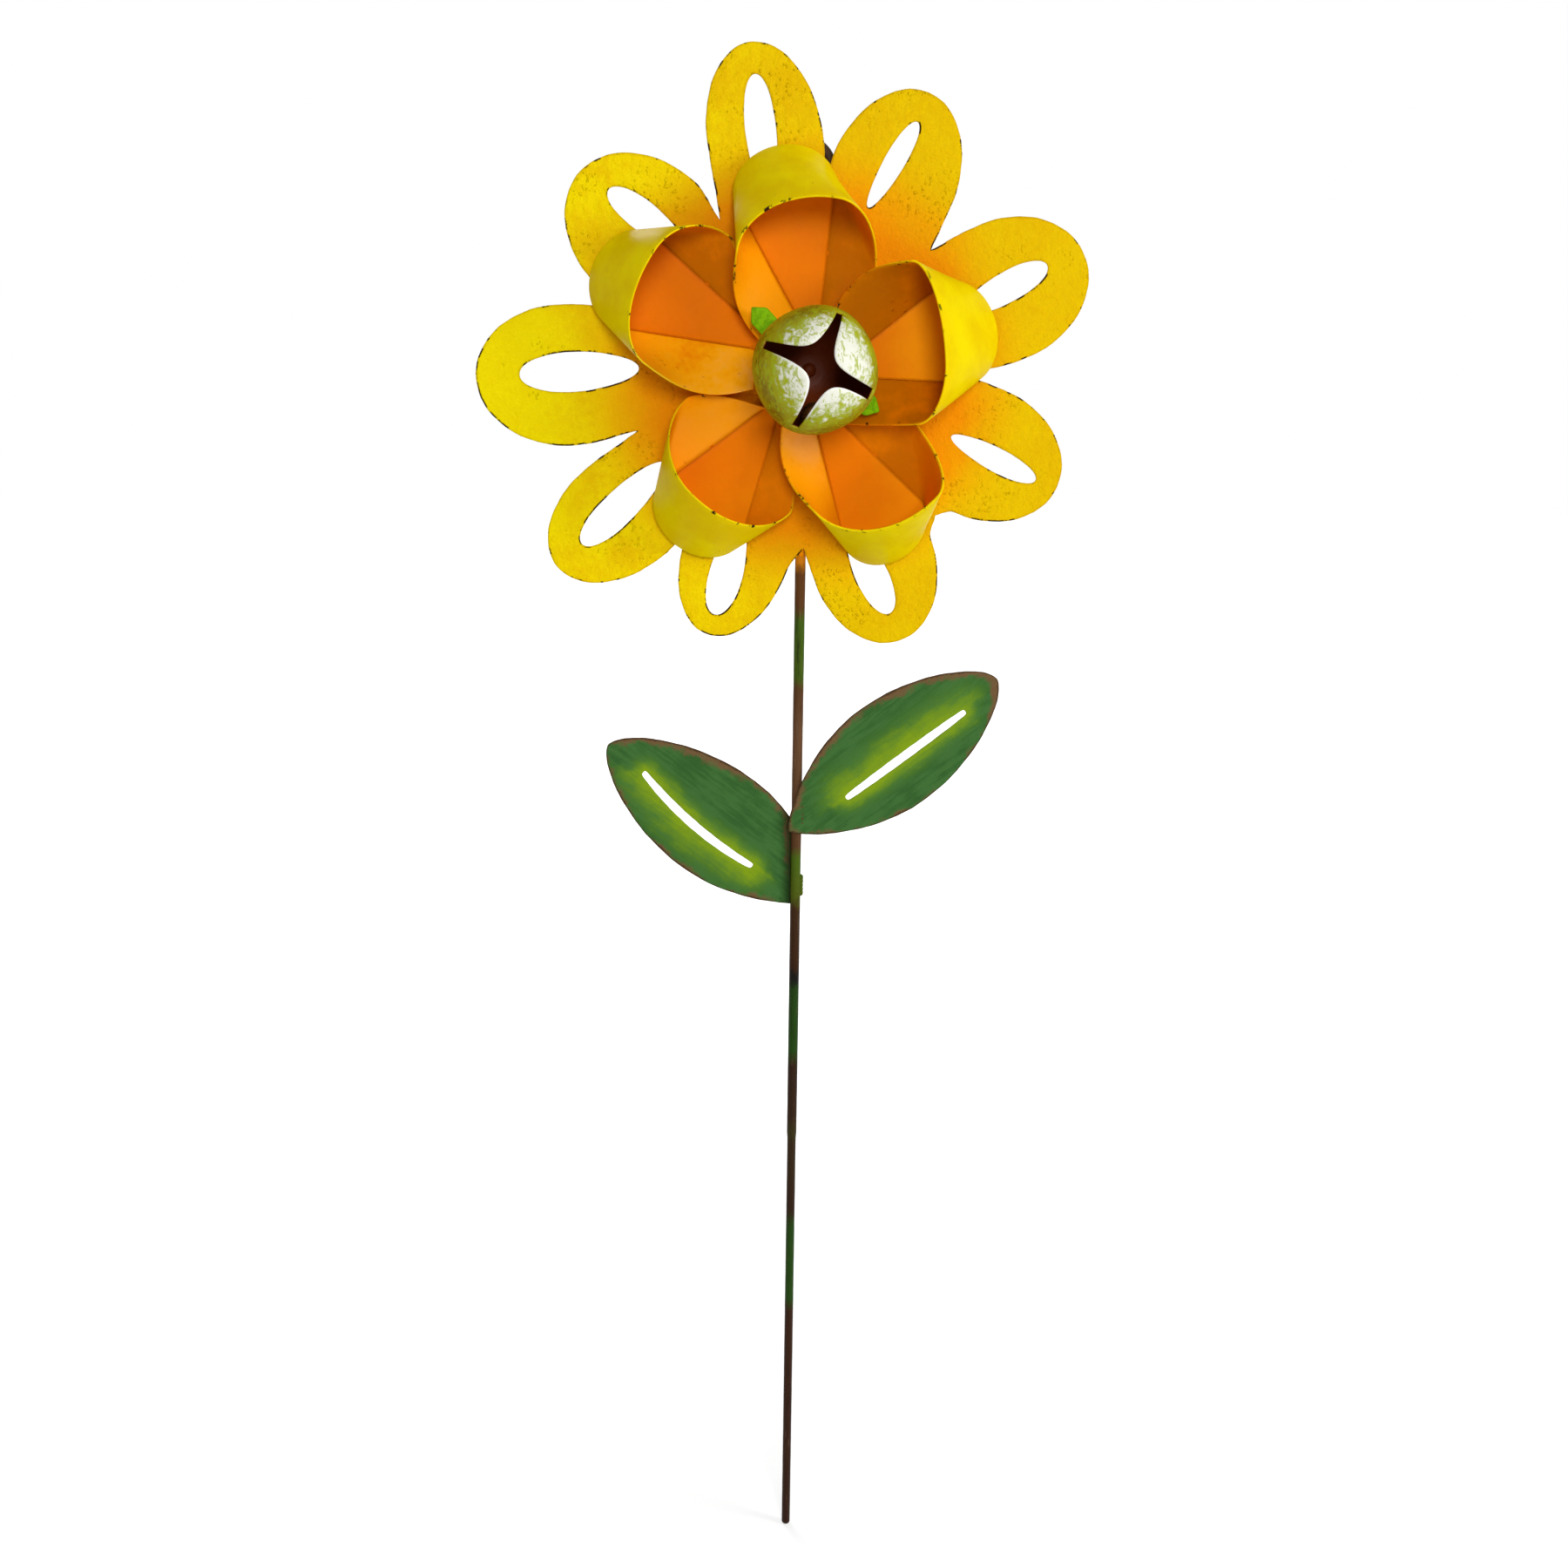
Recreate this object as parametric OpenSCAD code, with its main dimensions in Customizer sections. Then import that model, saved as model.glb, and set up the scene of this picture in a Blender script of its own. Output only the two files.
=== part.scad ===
// Flower wind spinner on a ground stake: a fixed slotted back flower, a front
// flower of ribbon loops that turns on a short axle, and a jingle bell at its centre.
// The front faces -Y, X is to the right, Z is up and the ground line is at Z = 0.

/* [Stake] */
// Diameter of the painted stem
stem_d = 4.8; // [4:0.1:5.2]
// Diameter of the spike that goes into the ground
spike_d = 4.3; // [3.4:0.1:4.8]
// Length of the spike below the ground line
spike_len = 222; // [120:1:320]
// Height of the flower's centre above the ground line
hub_h = 360; // [320:1:520]
// Height of the scroll's centre above the flower's centre
scroll_rise = 80; // [76:1:95]
// Radius of the scroll's outer turn, at the middle of the rod
scroll_r = 13; // [12:0.5:16]
// Height over which the rod bends aside into the scroll
scroll_lead = 32; // [28:1:36]
// Turns in the scroll
scroll_turns = 1.5; // [1:0.25:1.5]
// Gap between neighbouring turns of the scroll
scroll_gap = 0.8; // [0.5:0.1:1]

/* [Back flower] */
// Thickness of the back flower's sheet
plate_t = 1; // [0.6:0.1:2]
// Gap between the stem and the back flower
plate_gap = 0.2; // [0.1:0.1:0.5]
// Reach of an average back petal from the centre
petal_reach = 128; // [112:1:150]
// Half the width of an average back petal
petal_half_w = 27; // [23:0.5:29]
// Length of a back petal's rounded end
petal_tip_len = 37.5; // [32:0.5:42]
// Radius of an average notch between two back petals
notch_r = 77; // [70:1:82]
// Distance of the slots' inner ends from the centre
slot_root_r = 70; // [60:1:76]
// Distance of an average slot's outer end from an average petal's tip
slot_margin = 14; // [10:1:30]
// Width of an average slot
slot_w = 12.6; // [8:0.2:16]

/* [Axle] */
// Diameter of the axle stud
axle_d = 4; // [3:0.5:5]
// Radial running clearance between the axle and its bush
run_gap = 0.05; // [0.02:0.01:0.1]
// End play of the bush between its washers, at each end
end_play = 0.3; // [0.2:0.1:0.8]
// Radial gap of parts that are screwed or pressed together
seat_gap = 0.02; // [0.01:0.01:0.05]
// Width of the axle nuts across their flats
nut_af = 7; // [6:0.5:9]
// Thickness of the nut that clamps the back flower
plate_nut_t = 2.2; // [1.6:0.1:4]
// Thickness of the lock nut in front
lock_nut_t = 3.6; // [2.4:0.1:5]
// Outer diameter of the thrust washers
washer_d = 9; // [8:0.5:11]
// Thickness of the thrust washers
washer_t = 0.8; // [0.5:0.1:1.2]
// Length of the hub bush
bush_len = 5; // [4:0.5:8]
// Wall of the hub bush
bush_wall = 1.5; // [1:0.1:2]
// Diameter of the bush flange and of the ring that grips it
flange_d = 12; // [11:0.5:14]
// Thickness of the bush flange
flange_t = 1; // [0.6:0.1:1.5]
// Thickness of the hub ring
hub_ring_t = 1.5; // [1:0.1:2]
// Length of the axle that shows past the lock nut
axle_end_len = 0.9; // [0.5:0.1:2]

/* [Front flower] */
// Thickness of the five-tongued star's sheet
star_t = 1; // [0.6:0.1:1.6]
// Radius of the star's round middle
star_r = 15; // [14:0.5:16]
// Thickness of the ribbon loops
ribbon_t = 0.9; // [0.6:0.1:1.2]
// Gap between a tongue's edge and its ribbon loop
tongue_gap = 0.3; // [0.2:0.1:0.8]
// How far a tongue's end stays short of its ribbon loop
tongue_short = 5; // [3:0.5:9]
// How far the ribbons reach behind the star
ribbon_drop = 1; // [0.5:0.1:1.5]
// Least distance from the centre at which the ribbons' ends start
ribbon_root_r = 17; // [16.5:0.5:18]
// Half the distance between the two ends of a ribbon
root_half_w = 2.4; // [2.2:0.1:2.8]
// Distance from the centre at which the rims of the upper arms end
rim_root_r = 24; // [23:0.5:26]
// Distance of an average loop's widest place from the centre, at its rim
rim_middle_r = 43; // [38:0.5:46]
// Reach of an average loop's rim from the centre
rim_reach = 69; // [64:0.5:76]
// Half the width of an average loop at its rim
rim_half_w = 30; // [24:0.5:31]
// Reach of an average loop's base from the centre
base_reach = 89; // [80:0.5:96]
// Length of the rounded end of a loop's base
base_end_len = 16; // [12:0.5:20]
// Height of the rim on an arm that lies over its neighbour
rim_h_over = 24; // [22:0.5:26]
// Height of that rim at its end by the hub
root_h_over = 10; // [9:0.5:11]
// Height of the rim on an arm that lies under its neighbour
rim_h_under = 6.5; // [5.5:0.5:7]
// Height of that rim at its end by the hub
root_h_under = 3; // [2.5:0.5:3.5]
// Height of the rim at the loop's outer end
rim_h_end = 32; // [28:0.5:38]
// Outward bulge of a ribbon between its edges
ribbon_belly = 1; // [0:0.1:2]

/* [Bell] */
// Outer diameter of the bell
bell_d = 51; // [46:0.5:54]
// Wall of the bell
bell_wall = 1; // [0.7:0.1:1.5]
// Radius of the flat seat at the back of the bell
bell_seat_r = 6; // [5:0.5:7]
// Turn of the star-shaped mouth about the bell's axis
mouth_turn = 69; // [0:1:90]
// How far the mouth's arms stay inside the bell's outline
mouth_margin = 1.5; // [1:0.1:4]
// Half the width of an average arm of the mouth at its end
mouth_half_w = 1.6; // [1:0.1:2.2]
// Distance of an average lobe's tip from the bell's axis
lobe_tip_r = 7.9; // [6:0.1:9]
// Diameter of the pellet inside the bell
pellet_d = 12; // [11:0.5:14]
// Gap between the pellet and the bell
pellet_gap = 0.4; // [0.3:0.1:1]
// Thickness of the strap that carries the bell
strap_t = 1.2; // [0.8:0.1:2]
// Width of the strap
strap_w = 9; // [8:0.5:12]
// Reach of the strap's pointed ends from the centre
strap_reach = 34.5; // [31:0.5:35]
// Radius at which the strap's posts stand
post_ring_r = 11.5; // [11.5:0.25:12]
// Diameter of the strap's posts
post_d = 4; // [3:0.5:5]
// Diameter of a post's riveted tenons
tenon_d = 2.5; // [2:0.1:3]
// Diameter of the rivet heads on the posts
rivet_d = 4.4; // [3.6:0.1:5]
// Height of the rivet heads on the posts
rivet_h = 0.7; // [0.5:0.1:0.7]
// Diameter of the bell screw
bell_screw_d = 3; // [2:0.5:4]
// Diameter of the bell screw's head
screw_head_d = 5.8; // [5:0.1:7]
// Height of the bell screw's head
screw_head_h = 2; // [1.4:0.1:2.6]
// Width of the bell nut across its flats
bell_nut_af = 5.5; // [5:0.5:7]
// Thickness of the bell nut
bell_nut_t = 2.4; // [1.6:0.1:3.2]
// Gap between the end of the axle and the end of the bell screw
screw_clear = 1; // [0.6:0.1:2]

/* [Leaves] */
// Thickness of the leaves
leaf_t = 1; // [0.6:0.1:1.6]
// Length of the right leaf
right_leaf_len = 118; // [90:1:140]
// Length of the left leaf's blank, before it is trimmed to the stem
left_leaf_len = 125; // [100:1:150]
// Half the width of a leaf
leaf_half_w = 26.5; // [18:0.5:32]
// Width of the slit in a leaf
slit_w = 4; // [2:0.1:5]
// Distance of a slit from its leaf's tip
slit_margin = 21; // [12:1:30]
// Length of the slit
slit_len = 66; // [40:1:70]
// How far the right leaf's base lies below the flower's centre
right_leaf_drop = 205; // [190:1:240]
// How far the left leaf's base lies below the flower's centre
left_leaf_drop = 240; // [215:1:260]
// Rise of the right leaf from the horizontal
right_leaf_rise = 37; // [20:0.5:60]
// Rise of the left leaf from the horizontal
left_leaf_rise = 37.5; // [20:0.5:50]
// How far the right leaf's base reaches past the stem's middle
right_leaf_lap = 4; // [2:0.5:6]
// How far the left leaf's blank reaches past the stem before it is trimmed
left_leaf_trim = 13.5; // [8:0.5:20]
// Gap between a leaf and the stem
leaf_gap = 0.15; // [0.1:0.05:0.4]
// Radius of the weld beads
weld_r = 1.3; // [1:0.1:1.8]

/* [Hidden] */
$fn = 64;

yellow = [0.93, 0.8, 0.03];
orange = [0.9, 0.47, 0.02];
olive = [0.53, 0.55, 0.1];
bell_green = [0.35, 0.62, 0.08];
leaf_green = [0.3, 0.45, 0.22];
stem_brown = [0.3, 0.2, 0.1];
steel = [0.62, 0.63, 0.65];

// Back petals, uneven as if cut by hand: direction, then the shares of the average reach,
// half-width and radius of the notch that follows
back_petals = [
    [21.4, 1.008, 1.09, 0.948],
    [65, 0.953, 1, 0.87],
    [100.8, 1.02, 0.889, 0.909],
    [141.3, 0.949, 1.085, 0.987],
    [182, 1.082, 1.074, 0.987],
    [218.2, 1.059, 0.92, 1.12],
    [250, 0.945, 0.87, 0.987],
    [291.5, 0.977, 1.019, 1.104],
    [336.6, 0.96, 1.045, 0.909]
];
// The notch that the stem passes behind
stem_notch = 6;

// Slots: direction, sideways shift in average slot widths, shares of the average end and width
slots = [
    [28.5, -0.81, 0.982, 0.992],
    [59.5, 0.897, 0.956, 0.675],
    [96.9, 0.62, 1.035, 0.992],
    [145, -0.865, 0.943, 0.952],
    [184, -0.39, 1.053, 1.27],
    [224, -1.032, 1.053, 1.111],
    [254.5, -0.683, 0.974, 1.151],
    [297, -0.921, 0.974, 1.111],
    [334, 0.333, 0.987, 0.794]
];
// How much fuller a slot's outer half is than its inner half
slot_egg = 0.15;
slot_end_r = petal_reach - slot_margin;
petal_side_steps = 4;
petal_side_lead = 0.3;
petal_shoulder_lead = 0.4;
petal_tip_steps = 6;
slot_steps = 20;

// Ribbon loops, uneven as if bent by hand: direction of the rim, then the shares of the average
// widest place, reach and half-width on the anticlockwise and clockwise sides; how those sides lie,
// 0 straight under the neighbour, 1 over it and 2 round under it; direction of the base, half its
// spread, share of the average base reach, and share of the ribbons' thickness, chosen so that the
// front flower balances on its axle; direction and share of the distance of the ribbon's ends, and
// how far the rim spreads from the base's direction at those ends
loops = [
    [4.2, 1.007, 0.788, 1.343, 0.813, 1, 1, 17.8, 20.1, 0.945, 1.15, 1.6, 1, 49, 80],
    [82, 0.953, 0.962, 1.217, 0.75, 1, 2, 102.5, 18, 1.016, 0.99, 81, 1, 47, 80],
    [144, 1.293, 1.125, 1.28, 0.793, 1, 0, 156, 16.6, 1.096, 0.84, 150, 1.324, 43, 80],
    [223.5, 1.049, 1.01, 1.3, 0.867, 2, 2, 235, 19.1, 1.034, 0.9, 230.7, 1.324, 80, 80],
    [316.7, 0.97, 1.055, 0.573, 1.327, 2, 1, 301.2, 16.6, 1.018, 1.15, 291.2, 1.088, 80, 57]
];
tongue_start_share = 0.7;
tongue_foot_w = 4;
// How far the lower arms' rims lean out at the hub
root_lean = 1;
// How sharply the rims bend towards the hub, for each way that a side can lie
side_bends = [1, 3, 1.6];
loop_steps = 36;
belly_steps = 3;
leg_share = 0.5;
slope_step = 0.004;

// Slits of the right and left leaves, in shares of the leaf's half-width: distance from the
// leaf's middle at the base and at the tip, sag
leaf_slits = [[-0.137, -0.137, 0], [0.255, 0.04, 0.118]];
leaf_steps = 20;
leaf_fullness = 0.75;
leaf_tip_fullness = 0.6;
slit_steps = 8;
slit_end_share = 0.6;

// The mouth's arms, uneven as if cut by hand: direction from the first, share of the average half-width
mouth_arms = [[0, 0.73], [86.8, 1.02], [179.4, 0.93], [268.2, 1.46]];
// The lobe after each arm: direction of its tip from the first arm, share of the average distance
mouth_lobes = [[44, 1.39], [136.3, 0.742], [231, 1.01], [325.2, 0.857]];
lobe_steps = 9;

// The bell strap's two ends point to these directions
strap_dirs = [134, -28.5];
strap_middle_r = 7;

// Stations along the axle, from the stem to the front
plate_back = -stem_d / 2 - plate_gap;
plate_front = plate_back - plate_t;
plate_nut_front = plate_front - plate_nut_t;
rear_washer_front = plate_nut_front - washer_t;
bush_back = rear_washer_front - end_play;
star_back = bush_back - flange_t;
star_front = star_back - star_t;
ring_front = star_front - hub_ring_t;
bush_front = bush_back - bush_len;
front_washer_back = bush_front - end_play;
lock_nut_back = front_washer_back - washer_t;
lock_nut_front = lock_nut_back - lock_nut_t;
axle_front = lock_nut_front - axle_end_len;
bell_nut_back = axle_front - screw_clear;
strap_back = bell_nut_back - bell_nut_t;
strap_front = strap_back - strap_t;
bell_r = bell_d / 2;
mouth_reach = bell_r - mouth_margin;
bell_seat_depth = sqrt(bell_r * bell_r - bell_seat_r * bell_seat_r);
bell_y = strap_front - bell_seat_depth;
ribbon_back = star_back + ribbon_drop;

stem_r = stem_d / 2;
bush_r = axle_d / 2 + run_gap + bush_wall;
scroll_z = hub_h + scroll_rise;
scroll_bend_z = scroll_z - scroll_lead;
scroll_join_z = scroll_bend_z - stem_d;
scroll_pitch = stem_d + scroll_gap;
scroll_sides = 6;
scroll_rings = 24;
scroll_bend_rings = 8;
tip_round = 0.6;
nut_bevel = 0.35;
// How far a cutter reaches past the sheet it cuts
cut_over = 1;
// Lengths of the weld beads
short_weld = 4;
mid_weld = 8;
long_weld = 16;

function polar(r, a) = [r * cos(a), r * sin(a)];
function smooth(t) = t * t * (3 - 2 * t);
function bezier(p, q, r, s, t) =
    pow(1 - t, 3) * p + 3 * t * pow(1 - t, 2) * q + 3 * t * t * (1 - t) * r + pow(t, 3) * s;
function turned(p, a) = [p[0] * cos(a) - p[1] * sin(a), p[0] * sin(a) + p[1] * cos(a)];

// Stands a flat shape up, facing the front, from y_back forwards
module upright(y_back, thick) {
    translate([0, y_back, 0])
        rotate([90, 0, 0])
            linear_extrude(thick) children();
}

// A round bar along the axle from y_back to y_front
module axle_bar(y_back, y_front, r) {
    translate([0, y_back, hub_h])
        rotate([90, 0, 0])
            cylinder(h = y_back - y_front, r = r);
}

// A round hole right through the stack between two stations
module axle_hole(y_back, y_front, r) {
    axle_bar(y_back + cut_over, y_front - cut_over, r);
}

// A hexagonal nut with its corners turned off at the front, bored to r
module hex_nut(y_back, y_front, flats, r) {
    corner_r = flats / 2 / cos(30);
    thick = y_back - y_front;
    difference() {
        translate([0, y_back, hub_h])
            rotate([90, 0, 0])
                intersection() {
                    cylinder(h = thick, r = corner_r, $fn = 6);
                    cylinder(h = thick, r1 = corner_r + thick - nut_bevel, r2 = corner_r - nut_bevel);
                }
        axle_hole(y_back, y_front, r);
    }
}

// A bead of weld along Z
module weld_bead(pos, length, r = weld_r) {
    translate(pos) {
        cylinder(h = length, r = r, center = true);
        for (side = [-1, 1])
            translate([0, 0, side * length / 2]) sphere(r);
    }
}

// Stake

module stake() {
    spike_r = spike_d / 2;
    color(stem_brown)
        rotate_extrude()
            polygon([
                [0, -spike_len],
                [spike_r - tip_round, -spike_len],
                [spike_r, tip_round - spike_len],
                [spike_r, 0],
                [stem_r, 0],
                [stem_r, scroll_join_z],
                [0, scroll_join_z]
            ]);
}

// Middle line of the scroll in X and Z, from the stem's end to its free end
function scroll_path() = concat(
    [[0, scroll_join_z], [0, scroll_bend_z]],
    [for (i = [1 : scroll_bend_rings]) let(t = i / scroll_bend_rings)
        [-scroll_r * smooth(t), scroll_bend_z + scroll_lead * t]],
    [for (i = [1 : scroll_rings * scroll_turns]) let(turn = i / scroll_rings)
        polar(scroll_r - scroll_pitch * turn, 180 - 360 * turn) + [0, scroll_z]]
);

// Least gap between stretches of the tube that aren't next to each other
function least_gap(path, apart) = min([for (i = [0 : len(path) - 1 - apart])
    for (j = [i + apart : len(path) - 1]) norm(path[i] - path[j])]) - stem_d;

function tube_ring(path, i) =
    let(
        before = path[max(i - 1, 0)],
        after = path[min(i + 1, len(path) - 1)],
        along = (after - before) / norm(after - before),
        side = [along[1], -along[0]]
    )
    [for (k = [0 : scroll_sides - 1]) let(a = 360 * k / scroll_sides)
        [path[i][0] + stem_r * cos(a) * side[0], stem_r * sin(a), path[i][1] + stem_r * cos(a) * side[1]]];

function tube_faces(rings, sides) = concat(
    [for (k = [1 : sides - 2]) [0, k, k + 1]],
    [for (i = [0 : rings - 2]) for (k = [0 : sides - 1]) let(n = (k + 1) % sides)
        each [
            [i * sides + k, (i + 1) * sides + k, (i + 1) * sides + n],
            [i * sides + k, (i + 1) * sides + n, i * sides + n]
        ]],
    [for (k = [1 : sides - 2]) let(o = (rings - 1) * sides) [o, o + k + 1, o + k]]
);

module top_scroll() {
    path = scroll_path();
    echo(scroll_least_gap = least_gap(path, scroll_rings / 2));
    color(stem_brown)
        polyhedron(
            [for (i = [0 : len(path) - 1]) each tube_ring(path, i)],
            tube_faces(len(path), scroll_sides)
        );
}

// Back flower

function notch_dir(i) =
    let(next = (i + 1) % len(back_petals), wrap = next == 0 ? 360 : 0)
    (back_petals[i][0] + back_petals[next][0] + wrap) / 2;

// One petal's outline, from the notch on its clockwise side round its tip
function petal_points(i) =
    let(
        last = (i + len(back_petals) - 1) % len(back_petals),
        petal = back_petals[i],
        first_dir = notch_dir(last) - (i == 0 ? 360 : 0) - petal[0],
        start = polar(notch_r * back_petals[last][3], first_dir),
        end = polar(notch_r * petal[3], notch_dir(i) - petal[0]),
        shoulder = petal_reach * petal[1] - petal_tip_len,
        half_w = petal_half_w * petal[2]
    )
    [for (p = concat(
        petal_side(start, [shoulder, -half_w]),
        [for (k = [0 : 2 * petal_tip_steps]) let(a = 90 * k / petal_tip_steps - 90)
            [shoulder + petal_tip_len * cos(a), half_w * sin(a)]],
        reverse_list(petal_side(end, [shoulder, half_w]))
    )) turned(p, petal[0])];

function petal_side(from, to) =
    let(
        lead = (to - from) * petal_side_lead,
        shoulder_lead = [max(to[0] - from[0], 0) * petal_shoulder_lead, 0]
    )
    [for (k = [0 : petal_side_steps - 1])
        bezier(from, from + lead, to - shoulder_lead, to, k / petal_side_steps)];

// A list without its last item, back to front: the notch belongs to the next petal
function reverse_list(list) = [for (i = [len(list) - 1 : -1 : 1]) list[i]];

// An egg-shaped slot, a little fuller towards the petal's tip
function slot_points(slot) =
    let(
        half_len = (slot_end_r * slot[2] - slot_root_r) / 2,
        half_w = slot_w * slot[3] / 2,
        middle = slot_root_r + half_len,
        shift = slot_w * slot[1]
    )
    [for (k = [0 : slot_steps - 1]) let(a = 360 * k / slot_steps)
        turned([middle + half_len * cos(a), shift + half_w * sin(a) * (1 + slot_egg * cos(a))], slot[0])];

module back_flower() {
    color(yellow)
        difference() {
            translate([0, 0, hub_h])
                upright(plate_back, plate_t)
                    polygon([for (i = [0 : len(back_petals) - 1]) each petal_points(i)]);
            for (slot = slots)
                translate([0, 0, hub_h])
                    upright(plate_back + cut_over, plate_t + 2 * cut_over) polygon(slot_points(slot));
            axle_hole(plate_back, plate_front, axle_d / 2 + seat_gap);
        }
}

module plate_welds() {
    bead_y = plate_back + weld_r / 2;
    notch_z = hub_h - notch_r * back_petals[stem_notch][3];
    scroll_low_r = scroll_r - scroll_pitch * 3 / 4;
    color(orange) {
        weld_bead([0, bead_y, notch_z], short_weld);
        weld_bead([0, bead_y, hub_h + (scroll_rise - scroll_lead) / 2], mid_weld);
        translate([0, bead_y, scroll_z - scroll_low_r]) sphere(weld_r);
    }
}

// Axle

module axle_stud() {
    color(steel)
        difference() {
            axle_bar(-stem_r / 2, axle_front, axle_d / 2);
            cylinder(h = hub_h * 2, r = stem_r);
        }
}

module plate_nut() {
    color(steel) hex_nut(plate_front, plate_nut_front, nut_af, axle_d / 2 + seat_gap);
}

module thrust_washer(y_back) {
    color(steel)
        difference() {
            axle_bar(y_back, y_back - washer_t, washer_d / 2);
            axle_hole(y_back, y_back - washer_t, axle_d / 2 + run_gap);
        }
}

module rear_washer() {
    thrust_washer(plate_nut_front);
}

module front_washer() {
    thrust_washer(front_washer_back);
}

module lock_nut() {
    color(steel) hex_nut(lock_nut_back, lock_nut_front, nut_af, axle_d / 2 + seat_gap);
}

// Front flower

module hub_bush() {
    color(steel)
        difference() {
            union() {
                axle_bar(bush_back, star_back, flange_d / 2);
                axle_bar(bush_back, bush_front, bush_r);
            }
            axle_hole(bush_back, bush_front, axle_d / 2 + run_gap);
        }
}

module hub_ring() {
    color(steel)
        difference() {
            axle_bar(star_front, ring_front, flange_d / 2);
            axle_hole(star_front, ring_front, bush_r + seat_gap);
        }
}

// The middle between the two ends of a ribbon, and the length from there to its round end
function loop_root(loop) = polar(ribbon_root_r * loop[12], loop[11]);
function leg_len(loop) = base_reach * loop[9] - ribbon_root_r * loop[12] - base_end_len;

// One tongue of the star, inside the base of its ribbon loop
function tongue_points(loop) =
    let(
        inset = (ribbon_t * loop[10] / 2 + tongue_gap) / cos(loop[8]),
        shoulder = leg_len(loop) - tongue_short,
        neck_w = root_half_w - inset,
        half_w = neck_w + shoulder * tan(loop[8]),
        foot = star_r * tongue_start_share,
        root = loop_root(loop)
    )
    concat(
        [turned([foot, -tongue_foot_w], loop[11])],
        [root + turned([0, -neck_w], loop[7])],
        [for (k = [0 : 2 * petal_tip_steps]) let(a = 90 * k / petal_tip_steps - 90)
            root + turned([shoulder + base_end_len * cos(a), half_w * sin(a)], loop[7])],
        [root + turned([0, neck_w], loop[7])],
        [turned([foot, tongue_foot_w], loop[11])]
    );

module star_plate() {
    color(orange)
        difference() {
            union() {
                axle_bar(star_back, star_front, star_r);
                for (loop = loops)
                    translate([0, 0, hub_h])
                        upright(star_back, star_t) polygon(tongue_points(loop));
            }
            axle_hole(star_back, star_front, bush_r + seat_gap);
            at_posts() cylinder(h = abs(strap_front), r = tenon_d / 2 + seat_gap);
        }
}

// Where a ribbon is along its length: t runs from -1 at one end by the hub, through 0
// at the loop's outer end, to 1 at the other end
function side_sign(t) = t < 0 ? 1 : -1;
function arc_angle(t) = 90 * (1 - min(abs(t) / (1 - leg_share), 1));
function leg_place(t) = max((abs(t) - 1 + leg_share) / leg_share, 0);

// Base edge of a ribbon, a wedge with a round end
function base_point(loop, t) =
    let(
        shoulder = leg_len(loop),
        half_w = root_half_w + shoulder * tan(loop[8]),
        a = arc_angle(t),
        b = leg_place(t),
        u = b > 0 ? shoulder * (1 - b) : shoulder + base_end_len * sin(a),
        v = b > 0 ? half_w + (root_half_w - half_w) * b : half_w * cos(a)
    )
    loop_root(loop) + turned([u, v * side_sign(t)], loop[7]);

// Where the rim of a side ends by the hub
function rim_root(loop, sign, over) =
    let(way = loop[7] + sign * (sign > 0 ? loop[13] : loop[14]))
    over ? polar(rim_root_r, way) : base_point(loop, -sign) + polar(root_lean, way);

// Front rim of a ribbon, with its height
function rim_point(loop, t) =
    let(
        sign = side_sign(t),
        lie = t < 0 ? loop[5] : loop[6],
        over = lie == 1,
        half_w = rim_half_w * (t < 0 ? loop[3] : loop[4]),
        middle = rim_middle_r * loop[1],
        reach = rim_reach * loop[2],
        side_h = over ? rim_h_over : rim_h_under,
        root_h = over ? root_h_over : root_h_under,
        root = turned(rim_root(loop, sign, over), -loop[0]),
        a = arc_angle(t),
        b = leg_place(t),
        u = middle + (reach - middle) * sin(a) + (root[0] - middle) * b,
        v = sign * half_w * cos(a) + (root[1] - sign * half_w) * pow(b, side_bends[lie]),
        h = side_h + (rim_h_end - side_h) * pow(sin(a), 2) + (root_h - side_h) * sin(90 * b),
        flat = turned([u, v], loop[0])
    )
    [flat[0], ribbon_back - h, hub_h + flat[1]];

// A point on the middle of the ribbon's sheet, s from the base edge to the rim
function ribbon_point(loop, t, s) =
    let(
        flat = base_point(loop, t),
        base = [flat[0], ribbon_back, hub_h + flat[1]],
        rim = rim_point(loop, t),
        heart = turned([rim_middle_r * loop[1], 0], loop[0]),
        outward = (base + rim) / 2 - [heart[0], 0, hub_h + heart[1]],
        level = [outward[0], 0, outward[2]],
        bulge = ribbon_belly * 4 * s * (1 - s) * arc_angle(t) / 90
    )
    base + (rim - base) * s + level / norm(level) * bulge;

function ribbon_normal(loop, t, s) =
    let(
        low_t = max(t - slope_step, -1),
        high_t = min(t + slope_step, 1),
        low_s = max(s - slope_step, 0),
        high_s = min(s + slope_step, 1),
        along = ribbon_point(loop, high_t, s) - ribbon_point(loop, low_t, s),
        across = ribbon_point(loop, t, high_s) - ribbon_point(loop, t, low_s),
        n = cross(along, across)
    )
    n / norm(n);

// One side of the ribbon's sheet, half its thickness away from its middle
function ribbon_layer(loop, side) = [for (i = [0 : loop_steps]) for (j = [0 : belly_steps])
    let(t = 2 * i / loop_steps - 1, s = j / belly_steps)
    ribbon_point(loop, t, s) + ribbon_normal(loop, t, s) * side * ribbon_t * loop[10] / 2];

// Two triangles for each four points, facing one way
function quad_faces(a, b, c, d) = [[a, b, c], [a, c, d]];

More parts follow.
